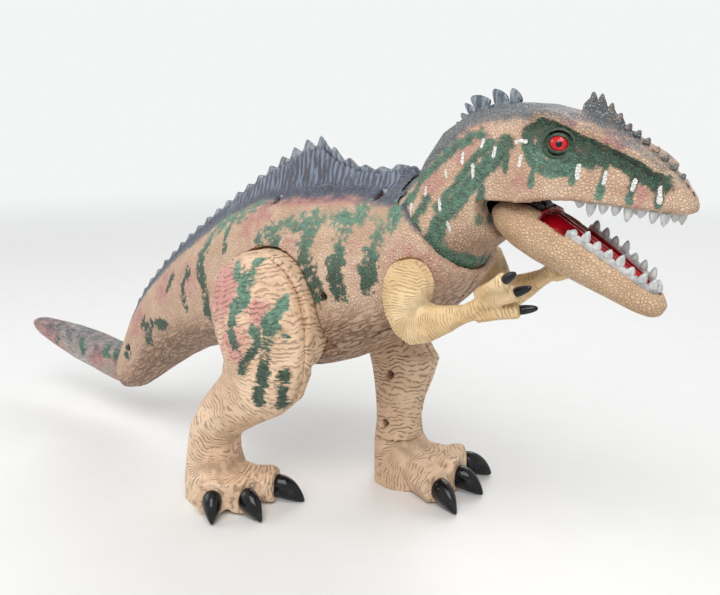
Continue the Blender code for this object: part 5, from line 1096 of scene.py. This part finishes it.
def teeth_piece(node, seats, way, tall, wide):
    """Flattened gum strip and its teeth, as one piece; its inner side is red as the mouth."""
    strip = even_copy(node, 0.5, keep=180.0, rounds=2)
    places = places_of(strip) / MM
    way = np.array(way) / np.linalg.norm(way)
    seat_xs, seat_ys = [seat[0] for seat in seats], [seat[1] for seat in seats]
    levels = np.array([np.array(seat) @ (way * (1, 0, 1)) for seat in seats])
    limit = np.interp(places[:, 0], seat_xs, levels) + 0.5
    over = np.maximum(places @ way - limit, 0)
    behind = np.clip((seat_xs[0] - 2.5 - places[:, 0]) / 0.8, 0, 1)
    set_places(strip, (places - (over + 3.0 * behind)[:, None] * way) * MM)
    inner = np.abs(places[:, 1]) < np.interp(places[:, 0], seat_xs, seat_ys)
    below = np.clip((limit - places @ way - 1.3) / 0.8, 0, 1)
    keep_amount(strip, "gum", np.maximum(below * inner, behind))
    parts = [strip]
    for i, (x, y, z) in enumerate(seats):
        at_end = i in (0, len(seats) - 1)
        for side in ((-1, 1) if y else (1,)):
            length = tall * (0.86 + 0.2 * math.sin(2.3 * i + side)) * (0.8 if at_end else 1.0)
            lean = Vector(way) + Vector((-0.10, 0.0, 0.0))
            outward = Vector((0.25 + 0.08 * i, side * 1.0 if y else 0.0, 0.0))
            root = Vector((x, side * y, z)) * MM - Vector(way) * 0.0006
            parts.append(put_copy(tooth_model, "tooth", root, lean, outward,
                                  length * MM, 0.75 * wide * MM, wide * MM))
    give(join(parts), tooth_plastic)
    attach(strip, node_body[node])
    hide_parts(node)
    print(node, "has", len(parts) - 1, "teeth")


teeth_piece("upper_teeth", UPPER_SEATS, (0, 0, -1), 6.5, 4.7)
teeth_piece("lower_teeth", LOWER_SEATS, (0.42, 0, 0.907), 5.4, 4.5)
bpy.data.objects.remove(tooth_model)

# %% [markdown]
# ## Claws
# Every toe ends in a fat hooked claw that reaches down to the floor, and every finger in a slim
# straight nail. The plastic is sprayed with black lacquer: a clear coat over a nearly black base
# gives the sharp highlights that the photograph shows.

# %% Black lacquer
claw_black, tree, shader = new_material("black claw lacquer")
dust = noise(tree, object_place(tree), 260.0, 4.0)
lacquer = blend_colour(tree, ramp(tree, dust, 0.45, 0.75), (0.006, 0.006, 0.007), (0.02, 0.02, 0.022))
socket(tree, shader.inputs["Base Color"], lacquer)
socket(tree, shader.inputs["Roughness"], math_of(tree, "MULTIPLY_ADD", dust, 0.06, 0.03))
shader.inputs["Specular IOR Level"].default_value = 0.24
shader.inputs["Coat Weight"].default_value = 0.12
shader.inputs["Coat Roughness"].default_value = 0.05

# %% A claw on every toe and a nail on every finger
CLAW_WIDE, CLAW_THICK, CLAW_SHARE = 0.0106, 0.0140, 0.285
NAIL_WIDE, NAIL_THICK = 0.0042, 0.0044
NAIL_LENGTH = {"right": 0.0086, "left": 0.0064}
claw_model = pulled_shape(16, ((0.12, 1.06, 0.00), (0.22, 0.98, -0.03), (0.22, 0.88, -0.10),
                               (0.17, 0.76, -0.15), (0.12, 0.62, -0.16), (0.06, 0.42, -0.11)), 0.17)
nail_model = pulled_shape(12, ((0.15, 1.04, 0.0), (0.30, 0.92, 0.0), (0.25, 0.82, 0.0),
                               (0.18, 0.68, 0.0), (0.10, 0.50, 0.0)), 0.0)


def finish_claw(claw, body):
    give(claw, claw_black)
    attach(claw, body)


for side_name in ("right", "left"):
    for i, (root, way, length) in enumerate(toe_ends(side_name)):
        name = "%s_toe_claw_%d" % (side_name, i + 1)
        claw = put_copy(claw_model, name, root - way * 0.0012, way + Vector((0, 0, -0.10)),
                        Vector((0, 0, 1)).cross(way), length * CLAW_SHARE, CLAW_WIDE, CLAW_THICK)
        finish_claw(claw, side_name + "_leg")
    for i, (root, way) in enumerate(finger_ends(side_name)):
        name = "%s_finger_claw_%d" % (side_name, i + 1)
        claw = put_copy(nail_model, name, root - way * 0.0008, way, (0, 1, 0),
                        NAIL_LENGTH[side_name], NAIL_WIDE, NAIL_THICK)
        finish_claw(claw, side_name + "_arm")
    print(side_name, "side has its claws and nails")
bpy.data.objects.remove(claw_model)
bpy.data.objects.remove(nail_model)

# %% [markdown]
# ## Eyes
# The eye is one ball of red glossy plastic with a painted black pupil. The lids are part of the
# sculpted head: two rings of green skin round the ball, here rings draped over it and the head.

# %% Eye plastic with its pupil
EYE = Vector((0.193521, 0.015488, 0.2020))
PUPIL = EYE + Vector((0.30, 0.94, 0.06)).normalized() * 0.0055
eye_red, tree, shader = new_material("red eye plastic")
place = object_place(tree)
x, y, z = (add(tree, "ShaderNodeSeparateXYZ", {"Vector": place}, output=axis) for axis in "XYZ")
one_side = add(tree, "ShaderNodeCombineXYZ", {"X": x, "Y": math_of(tree, "ABSOLUTE", y), "Z": z})
away = add(tree, "ShaderNodeVectorMath", {0: one_side, 1: tuple(PUPIL)}, output="Value",
           operation="DISTANCE")
iris = blend_colour(tree, ramp(tree, away, 0.0014, 0.0044), (0.66, 0.015, 0.020), (0.36, 0.004, 0.006))
streak = math_of(tree, "MULTIPLY", noise(tree, place, 500.0), 0.4)
iris = blend_colour(tree, streak, iris, (0.25, 0.0, 0.0))
iris = blend_colour(tree, ramp(tree, away, 0.0012, 0.0016), (0.004, 0.003, 0.003), iris)
socket(tree, shader.inputs["Base Color"], iris)
shader.inputs["Roughness"].default_value = 0.10
shader.inputs["Specular IOR Level"].default_value = 0.35
for node in ("right_eye", "left_eye"):
    give(nodes[node], eye_red)

# %% Lids
def skin_marks(piece, **amounts):
    """Paint amounts of a small piece of head skin, the same all over it."""
    for name in PAINTS:
        keep_amount(piece, name, np.full(len(piece.data.vertices), amounts.get(name, 0.0)))


def lid(name, side, radius, thick, squash_to, drape, shift):
    """Ring of skin round an eye, draped over a ball of the given radius."""
    out = Vector((0.22, side * 0.96, 0.12)).normalized()
    bpy.ops.object.select_all(action="DESELECT")
    bpy.ops.mesh.primitive_torus_add(major_radius=radius, minor_radius=thick,
                                     major_segments=40, minor_segments=12)
    ring = bpy.context.object
    ring.name = name
    bpy.ops.object.mode_set(mode="EDIT")
    bpy.ops.mesh.select_all(action="SELECT")
    bpy.ops.transform.resize(value=(1.0, squash_to, 1.0), center_override=(0, 0, 0))
    bpy.ops.object.mode_set(mode="OBJECT")
    places = places_of(ring)
    places[:, 2] += np.sqrt(np.maximum(drape ** 2 - places[:, 0] ** 2 - places[:, 1] ** 2, 0)) + shift
    set_places(ring, places)
    beside = Vector((1, 0, -0.12))
    beside = (beside - out * out.dot(beside)).normalized()
    turned = Matrix((beside, out.cross(beside), out)).transposed().to_4x4()
    ring.data.transform(Matrix.Translation(Vector((EYE.x, side * EYE.y, EYE.z))) @ turned)
    bpy.ops.object.shade_smooth()
    skin_marks(ring, green=1.3)
    give(ring, lid_skin)
    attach(ring, "head")


EYE_BALL = (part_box("right_eye")[1][2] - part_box("right_eye")[0][2]) / 2
print("eye ball radius, mm:", round(EYE_BALL / MM, 2))
lid_skin = skin_material("eyelid skin", TAN, TAN_LIGHT, pebble_size=1.2, depth=0.00012, stain_and_shade=0.2)
for side_name, side in (("right", -1), ("left", 1)):
    lid(side_name + "_eyelid", side, 0.0052, 0.0011, 0.74, EYE_BALL, 0.0)
    lid(side_name + "_eyelid_fold", side, 0.0070, 0.0008, 0.86, 0.0090, -0.0030)

# %% [markdown]
# ## Crest on the snout
# A row of blunt bony points runs down the middle of the snout, largest over the eyes. The head's
# own skin is notched between them already. Here each point gets its tip, a small lump sunk into
# the head and sprayed blue-grey as its top is.

# %% Crest points
# Each point: its tip (x, z), height, width and lean
CREST = [((196.7, 219.2), 4.4, 3.2, -0.30), ((200.2, 223.6), 5.4, 3.2, -0.05),
         ((204.2, 222.8), 5.2, 2.9, 0.10), ((208.8, 219.0), 5.0, 2.9, 0.25),
         ((212.9, 214.9), 4.4, 3.0, 0.40), ((217.2, 210.7), 3.8, 3.0, 0.50),
         ((221.3, 208.0), 3.6, 3.0, 0.55), ((225.4, 205.0), 3.4, 3.0, 0.60),
         ((229.5, 201.6), 3.4, 3.0, 0.65), ((233.5, 198.3), 3.2, 3.0, 0.70),
         ((237.3, 194.9), 3.2, 3.0, 0.80), ((240.8, 191.0), 3.0, 3.0, 0.95)]
SUNK, LUMP_THICK = 0.94, 4.6
lump_steps = ((0.30, 1.0, 0.0), (0.28, 0.78, 0.0), (0.22, 0.62, 0.0), (0.14, 0.45, 0.0))
lump_model = pulled_shape(10, lump_steps, 0.0)
lumps = []
for (x, z), tall, wide, lean in CREST:
    ahead = Vector((lean, 0, 1)).normalized()
    root = Vector((x, 0, z)) * MM - ahead * SUNK * tall * MM
    lumps.append(put_copy(lump_model, "snout_crest", root, ahead, (0, 1, 0),
                          tall * MM, LUMP_THICK * MM, wide * 1.15 * MM))
bpy.data.objects.remove(lump_model)
crest = join(lumps)
crest.name = "snout_crest"
skin_marks(crest, blue=0.66)
give(crest, head_skin)
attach(crest, "head")
print("snout crest has", len(CREST), "points")

# %% [markdown]
# ## Mouth
# The tongue and the floor of the mouth are one glossy red moulding with small lumps. The tongue
# swells along the middle, with a furrow down its length, so the model's flat top is raised there.

# %% Tongue
tongue_red, tree, shader = new_material("red mouth plastic")
place = object_place(tree)
lump = add(tree, "ShaderNodeTexVoronoi", {"Vector": place, "Scale": 330.0}, feature="SMOOTH_F1")
patch = ramp(tree, noise(tree, place, 150.0, 3.0), 0.4, 0.7)
patch = blend_colour(tree, patch, (0.50, 0.004, 0.012), (0.26, 0.003, 0.008))
socket(tree, shader.inputs["Base Color"], patch)
shader.inputs["Roughness"].default_value = 0.28
shader.inputs["Specular IOR Level"].default_value = 0.30
bump(tree, shader, lump, 0.9, 0.0006)
tongue = even_copy("tongue", 0.6, rounds=14, keep=75.0)
places, normals = places_of(tongue), normals_of(tongue)
xs, ys = places[:, 0] / MM, places[:, 1] / MM
half_width = np.interp(xs, [176, 190, 215, 232], [9.5, 9.5, 7.0, 4.0])
swell = np.interp(xs, [182, 187, 200, 215, 228], [5.5, 6.5, 5.0, 3.0, 0.5])
swell *= np.clip(1 - (ys / half_width) ** 2, 0, 1)
furrow = 1.2 * np.exp(-(ys / 1.2) ** 2)
places[:, 2] += np.clip(normals[:, 2] * 2, 0, 1) * np.maximum(swell - furrow, 0) * MM
set_places(tongue, places)
give(tongue, tongue_red)
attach(tongue, "jaw")
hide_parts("tongue")

# %% [markdown]
# ## Inner pieces and screws
# The drive, the battery box and the screws keep their model shapes. Each gets the finish of its
# kind: sprue-white and black nylon with a faint grain, drawn steel, brass, lacquer and shrink wrap.

# %% Plain finishes
def plain_plastic(name, dark, light, roughness, grain_scale=300.0):
    material, tree, shader = new_material(name)
    grain = noise(tree, object_place(tree), grain_scale, 4.0)
    socket(tree, shader.inputs["Base Color"], blend_colour(tree, grain, dark, light))
    dull = math_of(tree, "MULTIPLY_ADD", grain, 0.2, roughness - 0.1)
    socket(tree, shader.inputs["Roughness"], dull)
    bump(tree, shader, grain, 0.4, 0.0002)
    return material


def plain_metal(name, dark, light, roughness):
    material = plain_plastic(name, dark, light, roughness, 900.0)
    material.node_tree.nodes["Principled BSDF"].inputs["Metallic"].default_value = 1.0
    return material


slot_finish = {
    "white": plain_plastic("white nylon", (0.70, 0.69, 0.64), (0.82, 0.81, 0.76), 0.45),
    "black": plain_plastic("black nylon", (0.015, 0.015, 0.016), (0.04, 0.04, 0.042), 0.50),
    "board": plain_plastic("green board lacquer", (0.01, 0.14, 0.05), (0.02, 0.24, 0.09), 0.35),
    "wrap": plain_plastic("cell wrap", (0.06, 0.06, 0.07), (0.12, 0.12, 0.14), 0.30),
    "steel": plain_metal("drawn steel", (0.36, 0.36, 0.38), (0.62, 0.62, 0.64), 0.35),
    "brass": plain_metal("brass", (0.55, 0.40, 0.18), (0.80, 0.62, 0.30), 0.30),
}
for subpart in frame["record"]["subparts"]:
    if subpart["material_slot"] in slot_finish:
        give(nodes[subpart["node"]], slot_finish[subpart["material_slot"]])
